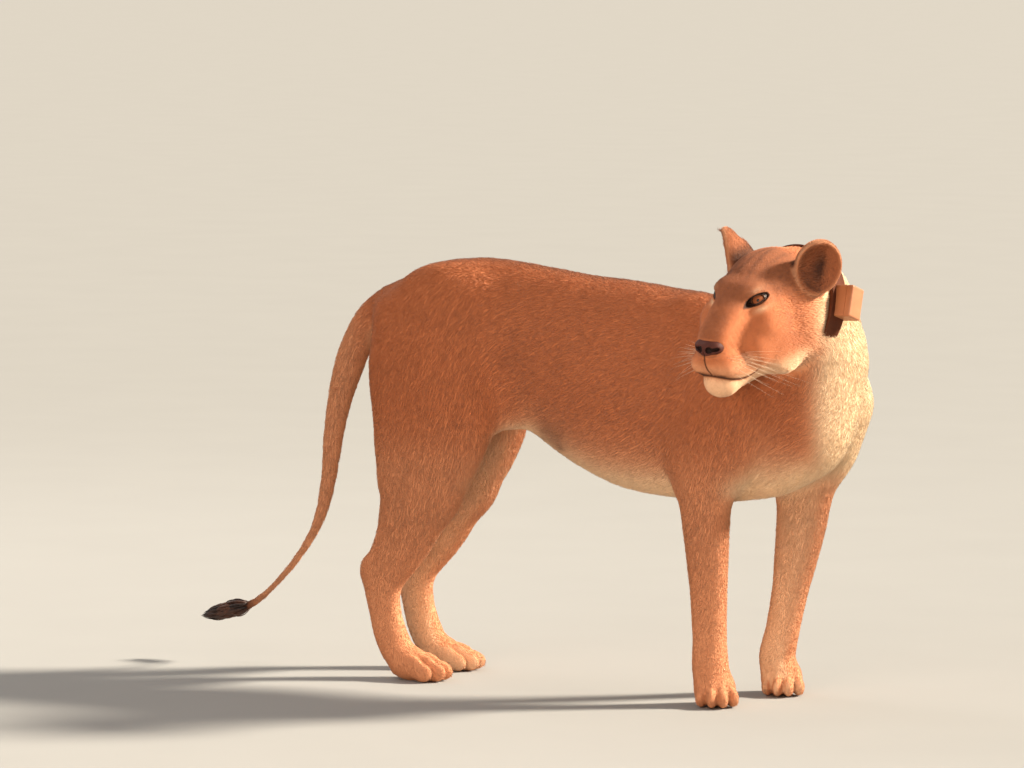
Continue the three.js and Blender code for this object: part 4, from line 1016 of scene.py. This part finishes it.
def furColour(m, where):
    s = furLook
    fine = m.noise(where, s["fine"], 2)
    colour = m.mixed(m.noise(where, s["patches"], 3), s["tawny"], s["warm"])
    pale = m.attribute("pale")
    colour = m.mixed(pale, colour, m.mixed(pale * pale, s["pale"], s["cream"]))
    colour = m.mixed(m.attribute("dusk") * (0.75 + 0.5 * fine), colour, s["dusk"])
    colour = m.mixed(m.attribute("dark"), colour, s["dark"])
    return m.mixed(1.0, colour, m.mixed(s["shadowShare"] * fine, (1, 1, 1), s["shadow"]), "MULTIPLY")


def skinFinish(m, where):
    grain = m.noise(where, furLook["grain"], 3)
    return {"Base Color": furColour(m, where), "Normal": m.bumps(0.5, 0.0016, grain)}


def coatFinish(m, where):
    shade = m.attribute("shade")
    tone = m.mixed(shade, furLook["dullTuft"], (1, 1, 1))
    return {
        "Base Color": m.mixed(1.0, furColour(m, where), tone, "MULTIPLY"),
        "Roughness": 0.62 + 0.2 * shade,
    }


skinMaterial = finish("short_fur", {"Roughness": 0.85, "Specular IOR Level": 0.25}, skinFinish)
coatGloss = {"Specular IOR Level": 0.2, "Sheen Weight": 0.08, "Sheen Roughness": 0.5}
coatMaterial = finish("coat_hair", coatGloss, coatFinish)

skinMesh.vertices.foreach_set("co", metres(skinPoints).ravel())
skinMesh.polygons.foreach_set("use_smooth", [True] * len(skinMesh.polygons))
for name, values in marks.items():
    addAttribute(skinMesh, name, values)
skin = inScene(bpy.data.objects.new("skin", skinMesh))
skinMesh.materials.append(skinMaterial)
flesh = ["torso", "neck", "head", "ear_left", "ear_right", "tail_base", "tail_middle", "tail_end"]
flesh += [leg["name"] for leg in legs] + [leg["name"].replace("leg", "paw") for leg in legs]
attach(skin, "root")
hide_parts(*flesh)
print("stage: skin", len(skinMesh.polygons))

tufts = {
    "lift": 0.15, "stray": 0.08, "patch": 0.003, "seed": 100, "flat": 0.45, "density": 1.6,
    "shape": [(0, 0, -0.9), (0.36, 0.5, -0.1), (0.36, -0.5, -0.1), (0.36, 0, 0.8), (1, 0, 0.1)],
    "regions": {  # spacing and width in millimetres
        "face": (1.75, 0.85), "crown": (2.0, 1.1), "neck": (2.5, 1.35), "shoulders": (2.5, 1.35),
        "flank": (2.5, 1.35), "rump": (2.5, 1.35), "tail": (2.3, 1.3),
        "foreleg_left": (2.2, 1.2), "foreleg_right": (2.2, 1.2),
        "hindleg_left": (2.5, 1.5), "hindleg_right": (2.5, 1.5),
    },
    "borders": {  # in millimetres
        "face": -30, "tail": -138, "tailTop": 400, "tailHangs": -230, "legs": 300, "hindleg": 560,
        "foreleg": 402, "hipMiddle": 0, "chestMiddle": -45, "rump": 200, "flank": 500, "shoulders": 800,
    },
    "length": {"body": 15.0, "face": 5, "cheeks": 9, "ear": 6.5, "cup": 19.0, "least": 4.5},
    "bare": {"sole": 14, "lids": (3.0, 6.0), "nose": (0.5, 2.5), "mouth": 46, "lips": 2.2},
}


def hairLength(p, onHead):  # in millimetres
    s = tufts["length"]
    h = headPlace.into(p)
    length = np.full(len(p), s["body"])
    cheek = smoothstep(-h[:, 0], -40, 60) * smoothstep(np.abs(h[:, 1]) - 0.3 * h[:, 2], 40, 110)
    length += (s["face"] + s["cheeks"] * cheek - length) * onHead
    for side, _ in sides:
        e = earPlace(side).into(h)
        onEar = lengths(e / (vec(*earLook["outer"]) + vec(4, 3, 3))) < 1.05
        inner = (inCup(e, 4) < 1) & (e[:, 1] * side < 4)
        length = np.where(onEar, np.where(inner, s["cup"], s["ear"]), length)
    length *= 1 - 0.5 * smoothstep(-p[:, 2], -420, -120)
    return np.maximum(length, s["least"])


def coatTree():  # tufts over the faces that it is given, each a flat lock with its root sunk in the skin
    tree = bpy.data.node_groups.new("coat_tufts", "GeometryNodeTree")
    sockets = {"Skin": "Geometry", "Tuft": "Object", "Hair": "Material", "Spacing": "Float",
               "Width": "Float", "Lift": "Float", "Stray": "Float", "Patch": "Float", "Seed": "Int"}
    for name, kind in sockets.items():
        tree.interface.new_socket(name, in_out="INPUT", socket_type="NodeSocket" + kind)
    tree.interface.new_socket("Coat", in_out="OUTPUT", socket_type="NodeSocketGeometry")
    m, given = Maker(tree), tree.nodes.new("NodeGroupInput")
    get = {name: Wire(m, given.outputs[name]) for name in sockets}

    def named(name, kind="FLOAT"):
        return m.node("GeometryNodeInputNamedAttribute", {"data_type": kind}, {"Name": name})

    def chance(low, high, seed):
        inputs = {2: low, 3: high, "Seed": get["Seed"] + seed}
        return m.node("FunctionNodeRandomValue", {"data_type": "FLOAT"}, inputs, 1)

    def stored(geometry, name, value, kind, domain):
        inputs = {"Geometry": geometry, "Name": name, "Value": value}
        return m.node("GeometryNodeStoreNamedAttribute", {"data_type": kind, "domain": domain}, inputs)

    points = m.node("GeometryNodeDistributePointsOnFaces", {"distribute_method": "POISSON"}, {
        "Mesh": get["Skin"], "Distance Min": get["Spacing"],
        "Density Max": tufts["density"] / (get["Spacing"] * get["Spacing"]),
        "Density Factor": named("cover"), "Seed": get["Seed"]})
    normal = points.other("Normal")
    stray = m.node("FunctionNodeRandomValue", {"data_type": "FLOAT_VECTOR"}, {
        0: (-1, -1, -1), 1: (1, 1, 1), "Seed": get["Seed"] + 7})
    way = m.vector("ADD", [named("lay", "FLOAT_VECTOR"), m.vector("SCALE", {0: normal, 3: get["Lift"]})])
    way = m.vector("ADD", [way, m.vector("SCALE", {0: stray, 3: get["Stray"]})])
    axes = {"primary_axis": "X", "secondary_axis": "Z"}
    turned = m.node("FunctionNodeAxesToRotation", axes, [way, normal])
    wide = get["Width"] * chance(0.7, 1.3, 2)
    long = named("hair") * chance(0.75, 1.2, 1)
    size = m.node("ShaderNodeCombineXYZ", {}, [long, wide, tufts["flat"] * wide])
    points = stored(points, "shade", chance(0, 1, 3), "FLOAT", "POINT")
    tuft = m.node("GeometryNodeObjectInfo", {}, {"Object": get["Tuft"]}, "Geometry")
    held = m.node("GeometryNodeInstanceOnPoints", {}, {
        "Points": points, "Instance": tuft, "Rotation": turned, "Scale": size})
    real = m.node("GeometryNodeRealizeInstances", {}, {"Geometry": held})
    patch = m.vector("SCALE", {0: named("patch", "FLOAT_VECTOR"), 3: get["Patch"]})
    unwrap = m.vector("ADD", [named("root", "FLOAT_VECTOR"), patch])
    real = stored(real, "OFBake", unwrap, "FLOAT2", "CORNER")
    real = m.node("GeometryNodeSetMaterial", {}, {"Geometry": real, "Material": get["Hair"]})
    tree.links.new(real.socket, tree.nodes.new("NodeGroupOutput").inputs["Coat"])
    return tree


def makeTuft():
    grid = bmesh.new()
    root, *ring, tip = [grid.verts.new(v) for v in tufts["shape"]]
    for a, b in ((0, 1), (1, 2), (2, 0)):
        grid.faces.new((root, ring[a], ring[b]))
        grid.faces.new((tip, ring[a], ring[b]))
    bmesh.ops.recalc_face_normals(grid, faces=grid.faces)
    for face in grid.faces:
        face.smooth = True
    mesh = bpy.data.meshes.new("tuft")
    grid.to_mesh(mesh)
    addAttribute(mesh, "patch", [(x - 0.5, y, 0) for x, y, _ in tufts["shape"]])
    return bpy.data.objects.new("tuft", mesh)


def regionNames(c, headed):  # the region of the coat that each face belongs to
    s = tufts["borders"]
    head, (x, y, z) = headPlace.into(c)[:, 0], c.T
    onTail = (x < s["tail"]) & ((z > s["tailTop"]) | (x < s["tailHangs"]))
    rules = [((headed > 0.5) & (head > s["face"]), "face"), (headed > 0.5, "crown"), (onTail, "tail")]
    hind = (x < s["legs"]) & (z < s["hindleg"])
    fore = (x >= s["legs"]) & (z < s["foreleg"])
    for leg, own, middle in (("hindleg", hind, s["hipMiddle"]), ("foreleg", fore, s["chestMiddle"])):
        rules += [(own & (y > middle), leg + "_left"), (own & (y <= middle), leg + "_right")]
    rules += [(x < s[name], name) for name in ("rump", "flank", "shoulders")]
    return np.select([rule for rule, _ in rules], [name for _, name in rules], "neck")


def coverOf(p, n, onHead):  # where the coat grows: not on the soles, lids, lips and nose leather
    s = tufts["bare"]
    h, headed = headPlace.into(p), onHead > 0
    cover = 1.0 - (n[:, 2] < -0.5) * (p[:, 2] < s["sole"])
    for side, _ in sides:
        cover *= np.where(headed, smoothstep(lids[side].distance(eyePlace(side).into(h)), *s["lids"]), 1)
    cover *= np.where(headed, smoothstep(noseField().distance(h), *s["nose"]), 1)
    mouth = nearCurve(np.column_stack([h[:, 0], h[:, 2]]), mouthLine)
    return cover * (1 - headed * (h[:, 0] > s["mouth"]) * (mouth < s["lips"]))


def emitterOf(name, faces, values):  # the skin's faces in one region, with an unwrap of their own
    used, corners = np.unique(faces, return_inverse=True)
    mesh = bpy.data.meshes.new(name)
    mesh.from_pydata(metres(skinPoints[used]).tolist(), [], corners.reshape(-1, 3).tolist())
    for key, value in values.items():
        addAttribute(mesh, key, value[used])
    mesh.uv_layers.new(name="root")
    emitter = inScene(bpy.data.objects.new(name, mesh))
    bpy.context.view_layer.objects.active = emitter
    emitter.select_set(True)
    bpy.ops.object.mode_set(mode="EDIT")
    bpy.ops.mesh.select_all(action="SELECT")
    bpy.ops.uv.smart_project(angle_limit=math.radians(60), island_margin=0.004)
    bpy.ops.object.mode_set(mode="OBJECT")
    emitter.select_set(False)
    return emitter


def growCoat():
    tree, tuft = coatTree(), makeTuft()
    keys = {item.name: item.identifier for item in tree.interface.items_tree if item.in_out == "INPUT"}
    corners = np.empty(len(skinMesh.polygons) * 3, np.int64)
    skinMesh.polygons.foreach_get("vertices", corners)
    corners = corners.reshape(-1, 3)
    regions = regionNames(skinPoints[corners].mean(1), onHead[corners].mean(1))
    values = {**marks, "lay": lay, "hair": hairLength(skinPoints, onHead) / 1000,
              "cover": coverOf(skinPoints, skinNormals, onHead)}
    shared = {"Tuft": tuft, "Hair": coatMaterial}
    shared.update((key.capitalize(), tufts[key]) for key in ("lift", "stray", "patch"))
    total = 0
    for i, (region, (spacing, width)) in enumerate(tufts["regions"].items()):
        emitter = emitterOf(region, corners[regions == region], values)
        grower = emitter.modifiers.new("coat", "NODES")
        grower.node_group = tree
        own = {"Spacing": spacing / 1000, "Width": width / 1000, "Seed": tufts["seed"] + 10 * i}
        for key, value in {**shared, **own}.items():
            grower[keys[key]] = value
        graph = bpy.context.evaluated_depsgraph_get()
        mesh = bpy.data.meshes.new_from_object(emitter.evaluated_get(graph))
        bpy.data.objects.remove(emitter)
        for key in ("lay", "hair", "cover", "patch", "root"):
            mesh.attributes.remove(mesh.attributes[key])
        mesh.name = "coat_" + region
        piece = inScene(bpy.data.objects.new("coat_" + region, mesh))
        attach(piece, "root")
        total += len(mesh.polygons)
        print("  coat of the", region, len(mesh.polygons))
    bpy.data.objects.remove(tuft)
    print("stage: coat", total)


growCoat()

eyeLook = {  # millimetres, and degrees off the middle of the gaze
    "radius": 19.0, "rings": 40, "spokes": 56, "inset": 0.4, "follow": 0.8, "corneaRise": 1.4, "cornea": 24,
    "iris": 39.0, "irisEdge": 5, "whiteEdge": (1, 6), "pupil": 8.0, "pupilEdge": (-1, 1.5),
    "amber": rgb(170, 102, 64), "brown": rgb(112, 62, 40), "limbus": rgb(36, 19, 12),
    "white": rgb(110, 76, 58), "black": (0.003, 0.003, 0.003),
    "gloss": {"Roughness": 0.25, "Specular IOR Level": 0.15, "Coat Weight": 0.06, "Coat Roughness": 0.12},
}


def eyeFinish(m, where):
    s = eyeLook
    off, around = m.attribute("off"), m.attribute("around")
    inIris = m.node("ShaderNodeCombineXYZ", {}, [around * 7.0, off * 0.03])
    inputs = {"Vector": inIris, "Scale": 2.2, "Detail": 4.0}
    streak = m.node("ShaderNodeTexNoise", {"noise_dimensions": "2D"}, inputs)
    colour = m.mixed(streak, s["brown"], s["amber"])
    colour = m.mixed(m.rise(off, s["iris"] - s["irisEdge"], s["iris"]), colour, s["limbus"])
    colour = m.mixed(m.rise(off, *(s["iris"] + edge for edge in s["whiteEdge"])), colour, s["white"])
    pupil = 1 - m.rise(off, *(s["pupil"] + edge for edge in s["pupilEdge"]))
    return {"Base Color": m.mixed(pupil, colour, s["black"])}


def makeEye(name, side):
    s, shift = eyeLook, lids[side].shift
    gaze = along((0, 0, 0), (s["radius"], s["follow"] * shift[0], s["follow"] * shift[1]))
    place = headPlace.then(eyePlace(side)).then(gaze)
    points, faces, off, around = [], [], [], []
    for i in range(s["rings"] + 1):
        a = math.pi * i / s["rings"]
        r = s["radius"] + s["corneaRise"] * bump(math.degrees(a), s["cornea"]) - s["inset"]
        for j in range(s["spokes"]):
            b = 2 * math.pi * j / s["spokes"]
            points.append((r * math.cos(a), r * math.sin(a) * math.cos(b), r * math.sin(a) * math.sin(b)))
            off.append(math.degrees(a))
            around.append(math.sin(b) + 2 * math.cos(b))
            if i < s["rings"]:
                k, n = i * s["spokes"], (j + 1) % s["spokes"]
                faces.append((k + j, k + s["spokes"] + j, k + s["spokes"] + n, k + n))
    eye = shaped(name, place.out(points), faces)
    addAttribute(eye.data, "off", off)
    addAttribute(eye.data, "around", around)
    grid = bmesh.new()
    grid.from_mesh(eye.data)
    bmesh.ops.remove_doubles(grid, verts=grid.verts, dist=1e-6)
    bmesh.ops.recalc_face_normals(grid, faces=grid.faces)
    grid.to_mesh(eye.data)
    return eye


eyeMaterial = finish("eye_glass", eyeLook["gloss"], eyeFinish)
for side, sideName in sides:
    eye = makeEye(f"eyeball_{sideName}", side)
    eye.data.materials.append(eyeMaterial)
    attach(eye, "root")
    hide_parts(f"eye_{sideName}")
print("stage: eyes")


def tube(path, radii, ups, corners=8, closed=False):  # a tube through points, flattened by its two radii
    path, radii = np.asarray(path, float), np.asarray(radii, float)
    count = len(path)
    ways = (np.roll(path, -1, 0) - np.roll(path, 1, 0)) if closed else np.gradient(path, axis=0)
    points, faces = [], []
    for i in range(count):
        way = unit(ways[i])
        up = unit(ups[i] - way * (ups[i] @ way))
        across = np.cross(way, up)
        for j in range(corners):
            a = 2 * math.pi * j / corners
            points.append(path[i] + radii[i, 0] * math.cos(a) * across + radii[i, 1] * math.sin(a) * up)
    for i in range(count if closed else count - 1):
        n = (i + 1) % count
        for j in range(corners):
            k = (j + 1) % corners
            faces.append((i * corners + j, i * corners + k, n * corners + k, n * corners + j))
    if not closed:
        faces += [tuple(range(corners))[::-1], tuple((count - 1) * corners + j for j in range(corners))]
    return points, faces


rimLook = {  # the skin's edge round each eye, in millimetres
    "steps": 48, "upper": 1.5, "lower": 1.2, "thick": 1.3,
    "reach": 20.0, "curve": 0.72, "least": 30, "within": 0.98,
}


def makeRim(side):
    s, lid, place = rimLook, lids[side], headPlace.then(eyePlace(side))
    path, ups, radii = [], [], []
    for j in range(s["steps"]):
        a = 2 * math.pi * j / s["steps"]
        b = lid.half * math.cos(a)
        upper, lower = (float(edge[0]) for edge in lid.rim(np.array([b * 0.999])))
        above = math.sin(a) >= 0
        b, c = b * s["within"] + lid.shift[0], (upper if above else lower) + lid.shift[1]
        depth = math.sqrt(max(s["reach"] ** 2 - b * b * s["curve"] - c * c, s["least"]))
        path.append(place.out((depth, b, c)))
        ups.append(place.way(unit(vec(depth, b, c))))
        radii.append((s["upper"] if above else s["lower"], s["thick"]))
    return tube(path, radii, ups, closed=True)


rimSkin = finish("eye_rim", {"Roughness": 0.45, "Specular IOR Level": 0.5}, lambda m, where: {
    "Base Color": m.mixed(m.noise(where, 300), rgb(22, 14, 12), rgb(44, 28, 24)),
    "Normal": m.bumps(0.3, 0.0006, m.noise(where, 700)),
})
for side, sideName in sides:
    rim = shaped(f"eye_rim_{sideName}", *makeRim(side))
    rim.data.materials.append(rimSkin)
    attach(rim, "root")
print("stage: eye rims")


def joined(parts):  # several loose forms as one list of points and faces
    points, faces = [], []
    for own, ownFaces in parts:
        faces += [tuple(i + len(points) for i in face) for face in ownFaces]
        points += list(own)
    return points, faces


def makeWhiskers(s):
    draw = np.random.default_rng(s["seed"])
    parts, u = [], np.linspace(0, 1, s["rings"])[:, None]
    for side, _ in sides:
        for i, root in enumerate(whiskerRoots(side, coatDepth["head"] + 1.5)):
            row, place = divmod(i, s["each"])
            share = 0.25 * row + 0.1 * place
            length = s["short"] + (s["long"] - s["short"]) * share + draw.uniform(-s["uneven"], s["uneven"])
            stray = draw.uniform(-s["stray"], s["stray"], 3)
            way = unit(vec(0.1 - 0.12 * place, side, 0.05 - 0.16 * row) + stray)
            path = root + length * (u * way + s["droop"] * u * u * vec(-0.9, 0, -0.5))
            thin = s["radius"] * (1 - 0.85 * u)
            parts.append(tube(headPlace.out(path), np.hstack([thin, thin]), [vec(0, 0, 1)] * len(path), 4))
    return joined(parts)


whiskerHair = finish("whisker_hair", {"Specular IOR Level": 0.5}, lambda m, where: {
    "Base Color": m.mixed(m.noise(where, 60), rgb(206, 178, 148), rgb(236, 216, 190)),
    "Roughness": 0.35 + 0.2 * m.noise(where, 200),
})
whiskers = shaped("whiskers", *makeWhiskers(whiskerLook))
whiskers.data.materials.append(whiskerHair)
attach(whiskers, "root")

tuftLook = {
    "root": (-478, 0, 121), "tip": (-596, 0, 92), "locks": 320, "rings": 8, "corners": 6, "seed": 5,
    "wide": 5.4, "thick": 2.4, "tailRadius": 9, "swell": (13, 31), "spread": (0.3, 6.5), "bend": 0.45,
    "starts": (-0.04, 0.45), "shares": (0.42, 0.6), "ends": (0.78, 0.98), "longest": 0.985,
}


def makeTuftLocks(s):  # flat tapered locks that swell away from the tail's end and come together at its tip
    draw = np.random.default_rng(s["seed"])
    root, tip = vec(*s["root"]), vec(*s["tip"])
    place, length = along(root, tip - root, (0, 1, 0)), np.linalg.norm(tip - root)
    parts, shades = [], []
    u = np.linspace(0, 1, s["rings"])
    for i in range(s["locks"]):
        start = draw.uniform(*s["starts"])
        end = s["longest"] if i == 0 else min(start + draw.uniform(*s["shares"]), draw.uniform(*s["ends"]))
        angle = draw.uniform(0, 2 * math.pi) + draw.uniform(-s["bend"], s["bend"]) * u * u
        swell = draw.uniform(*s["swell"]) * (1.1 - 0.5 * start)
        spread = draw.uniform(*s["spread"]) * (0 if i == 0 else 1)
        off = s["tailRadius"] * (1 - u) ** 2 + 2 * swell * u * (1 - u) + spread * u * u
        out = np.column_stack([0 * u, np.cos(angle), np.sin(angle)])
        path = np.column_stack([(start + (end - start) * u) * length, off * out[:, 1], off * out[:, 2]])
        size = (0.6 + 0.8 * u) * (1 - u**2.4) ** 0.8 + 0.03
        radii = np.column_stack([0.5 * s["wide"] * size, 0.5 * s["thick"] * size])
        parts.append(tube(place.out(path), radii, out @ place.axes.T, s["corners"]))
        shades += [draw.uniform()] * (s["corners"] * s["rings"])
    return (*joined(parts), shades)


tuftHair = finish("tuft_hair", {"Roughness": 0.55, "Specular IOR Level": 0.4}, lambda m, where: {
    "Base Color": m.mixed(m.attribute("shade") * m.noise(where, 90), rgb(26, 15, 12), rgb(112, 66, 42)),
    "Normal": m.bumps(0.4, 0.0006, m.noise(where, 900)),
})
points, faces, shades = makeTuftLocks(tuftLook)
tuftPiece = shaped("tuft_locks", points, faces)
addAttribute(tuftPiece.data, "shade", shades)
tuftPiece.data.materials.append(tuftHair)
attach(tuftPiece, "root")
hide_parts("tail_tuft")
print("stage: whiskers and tuft", len(tuftPiece.data.polygons))


def leatherFinish(m, where):
    colour = m.mixed(m.noise(where, 160), rgb(62, 28, 22), rgb(88, 44, 34))
    return {
        # near black in the nostrils: painted shade in their depth
        "Base Color": m.mixed(m.attribute("nostrilShade"), colour, rgb(18, 9, 8)),
        "Normal": m.bumps(0.6, 0.0008, m.cells(where, 620)),
    }


leather = finish("nose_leather", {"Roughness": 0.6, "Specular IOR Level": 0.22}, leatherFinish)
field = noseField()
points, faces = surfaceNet(field, **noseLook["net"])
points = settle(field, points, 1, 1.0)
nose = shaped("nose_pad", headPlace.out(points), faces)
nostrils = Fused(field.cuts[:4], 2)
# the nostrils' painted shade, strongest within them
addAttribute(nose.data, "nostrilShade", smoothstep(-nostrils.distance(points), -2.0, 1.0))
nose.data.materials.append(leather)
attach(nose, "root")
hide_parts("nose")
print("stage: nose")

collar = {
    "at": (-172, 0, -62), "way": (0.83, 0, 0.56), "width": 44.0, "thick": 5.0, "under": -4, "edge": 1.6,
    "steps": 40, "fine": 200, "rows": 9, "start": 60.0, "rounds": 40, "share": 0.8, "most": 122.0,
}
housingLook = {
    "along": 44.0, "tall": 66.0, "thick": 44.0, "angle": math.radians(6), "back": 12.0, "sunk": 4,
    "bevel": {"offset": 5.0, "segments": 5, "profile": 0.6},
    "groove": {"at": 0.66, "wide": 1.2, "inset": 0.3, "deep": 0.9},
}
collarPlace = along(headPlace.out(collar["at"]), headPlace.way(collar["way"]), headPlace.way((0, 0, 1)))


def neckRadii(reach):  # the neck's radius round the strap, evened out as a taut strap would be
    held = Fused([neck, Placed(bareHead, headPlace)], 34)
    angles = 2 * math.pi * np.arange(collar["steps"]) / collar["steps"]
    radius = np.full(collar["steps"], collar["start"])
    for _ in range(collar["rounds"]):
        p = np.column_stack([0 * angles + reach, radius * np.cos(angles), radius * np.sin(angles)])
        radius -= collar["share"] * held.distance(collarPlace.out(p))
    radius = np.minimum(radius, collar["most"])
    radius = sum(np.roll(radius, k) for k in range(-2, 3)) / 5
    around = np.append(angles, 2 * math.pi)
    return lambda a: np.interp(np.mod(a, 2 * math.pi), around, np.append(radius, radius[0]))


reaches = np.linspace(-collar["width"] / 2, collar["width"] / 2, collar["rows"])
radiusAt = [neckRadii(r) for r in reaches]


def onStrap(reach, angle, height):  # points by place along the neck, angle and height off the skin
    radius = [np.interp(r, reaches, [f(a) for f in radiusAt]) for r, a in zip(reach, angle)]
    radius = np.array(radius) + height
    return collarPlace.out(np.column_stack([reach, radius * np.cos(angle), radius * np.sin(angle)]))


def makeStrap():
    half, top, under, e = (collar[key] for key in ("width", "thick", "under", "edge"))
    half /= 2
    ahead = [(half - e, under), (half, under + e), (half, top - e), (half - 0.3 * e, top - 0.3 * e)]
    ahead += [(half - e, top), (half - 4, top - 0.2), (half - 8, top - 0.7)]
    behind = [(-r, h) for r, h in ahead]
    rows = [behind[0], *ahead, (0, top - 0.5), *behind[:0:-1]]
    angles = 2 * math.pi * np.arange(collar["fine"]) / collar["fine"]
    points = np.concatenate([onStrap(0 * angles + r, angles, h) for r, h in rows])
    faces, n = [], collar["fine"]
    for k in range(len(rows)):
        m = (k + 1) % len(rows)
        for i in range(n):
            j = (i + 1) % n
            faces.append((k * n + i, m * n + i, m * n + j, k * n + j))
    return points, faces


def makeHousing(s):
    out = vec(0, math.cos(s["angle"]), math.sin(s["angle"]))
    radius = float(neckRadii(0)(s["angle"]))
    middle = out * (radius - s["sunk"]) + vec(-s["back"], 0, 0)
    block = Place(np.column_stack([np.cross((1, 0, 0), out), (1, 0, 0), out]), middle)
    grid = bmesh.new()
    bmesh.ops.create_cube(grid, size=1)
    for v in grid.verts:
        v.co = (v.co.x * s["tall"], v.co.y * s["along"], (v.co.z + 0.5) * s["thick"])
    bmesh.ops.bevel(grid, geom=grid.edges[:], affect="EDGES", **s["bevel"])
    groove = s["groove"]
    band = [s["thick"] * groove["at"], s["thick"] * groove["at"] + groove["wide"]]
    for z in band:
        geometry = grid.verts[:] + grid.edges[:] + grid.faces[:]
        bmesh.ops.bisect_plane(grid, geom=geometry, plane_co=(0, 0, z), plane_no=(0, 0, 1))
    inBand = [f for f in grid.faces if band[0] < f.calc_center_median().z < band[1]]
    inBand = [f for f in inBand if abs(f.normal.z) < 0.5]
    bmesh.ops.inset_region(grid, faces=inBand, thickness=groove["inset"], depth=-groove["deep"],
                           use_even_offset=True)
    bmesh.ops.recalc_face_normals(grid, faces=grid.faces)
    points = np.array([v.co for v in grid.verts])
    faces = [[v.index for v in f.verts] for f in grid.faces]
    return collarPlace.then(block).out(points), faces


strapLeather = finish("strap_leather", {"Specular IOR Level": 0.1}, lambda m, where: {
    "Base Color": m.mixed(m.noise(where, 45, 4), rgb(66, 34, 22), rgb(104, 58, 38)),
    "Roughness": 0.65 + 0.3 * m.noise(where, 60, 3),
    "Normal": m.bumps(0.5, 0.0007, m.cells(where, 480)),
})
resin = finish("housing_resin", {"Specular IOR Level": 0.5}, lambda m, where: {
    "Base Color": m.mixed(m.noise(where, 36, 4), rgb(150, 92, 58), rgb(184, 120, 78)),
    "Roughness": 0.36 + 0.25 * m.noise(where, 80, 3),
    "Normal": m.bumps(0.25, 0.0006, m.noise(where, 520, 3)),
})
strap = shaped("strap_band", *makeStrap())
strap.data.materials.append(strapLeather)
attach(strap, "root")
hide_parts("collar_strap")
housing = shaped("housing_case", *makeHousing(housingLook), False)
housing.data.materials.append(resin)
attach(housing, "root")
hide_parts("collar_housing")
print("stage: collar")

plane, half, tone = bpy.data.meshes.new("floor"), studio["floorHalf"], studio["floor"]
corners = [(-half, -half, 0), (half, -half, 0), (half, half, 0), (-half, half, 0)]
plane.from_pydata(corners, [], [(0, 1, 2, 3)])
floor = inScene(bpy.data.objects.new("floor", plane))
plane.materials.append(finish("floor_paint", {"Roughness": 0.9}, lambda m, where: {
    "Base Color": m.mixed(m.noise(where, 3, 2), tone, tuple(c * studio["mottle"] for c in tone)),
}))

print("stage: done")
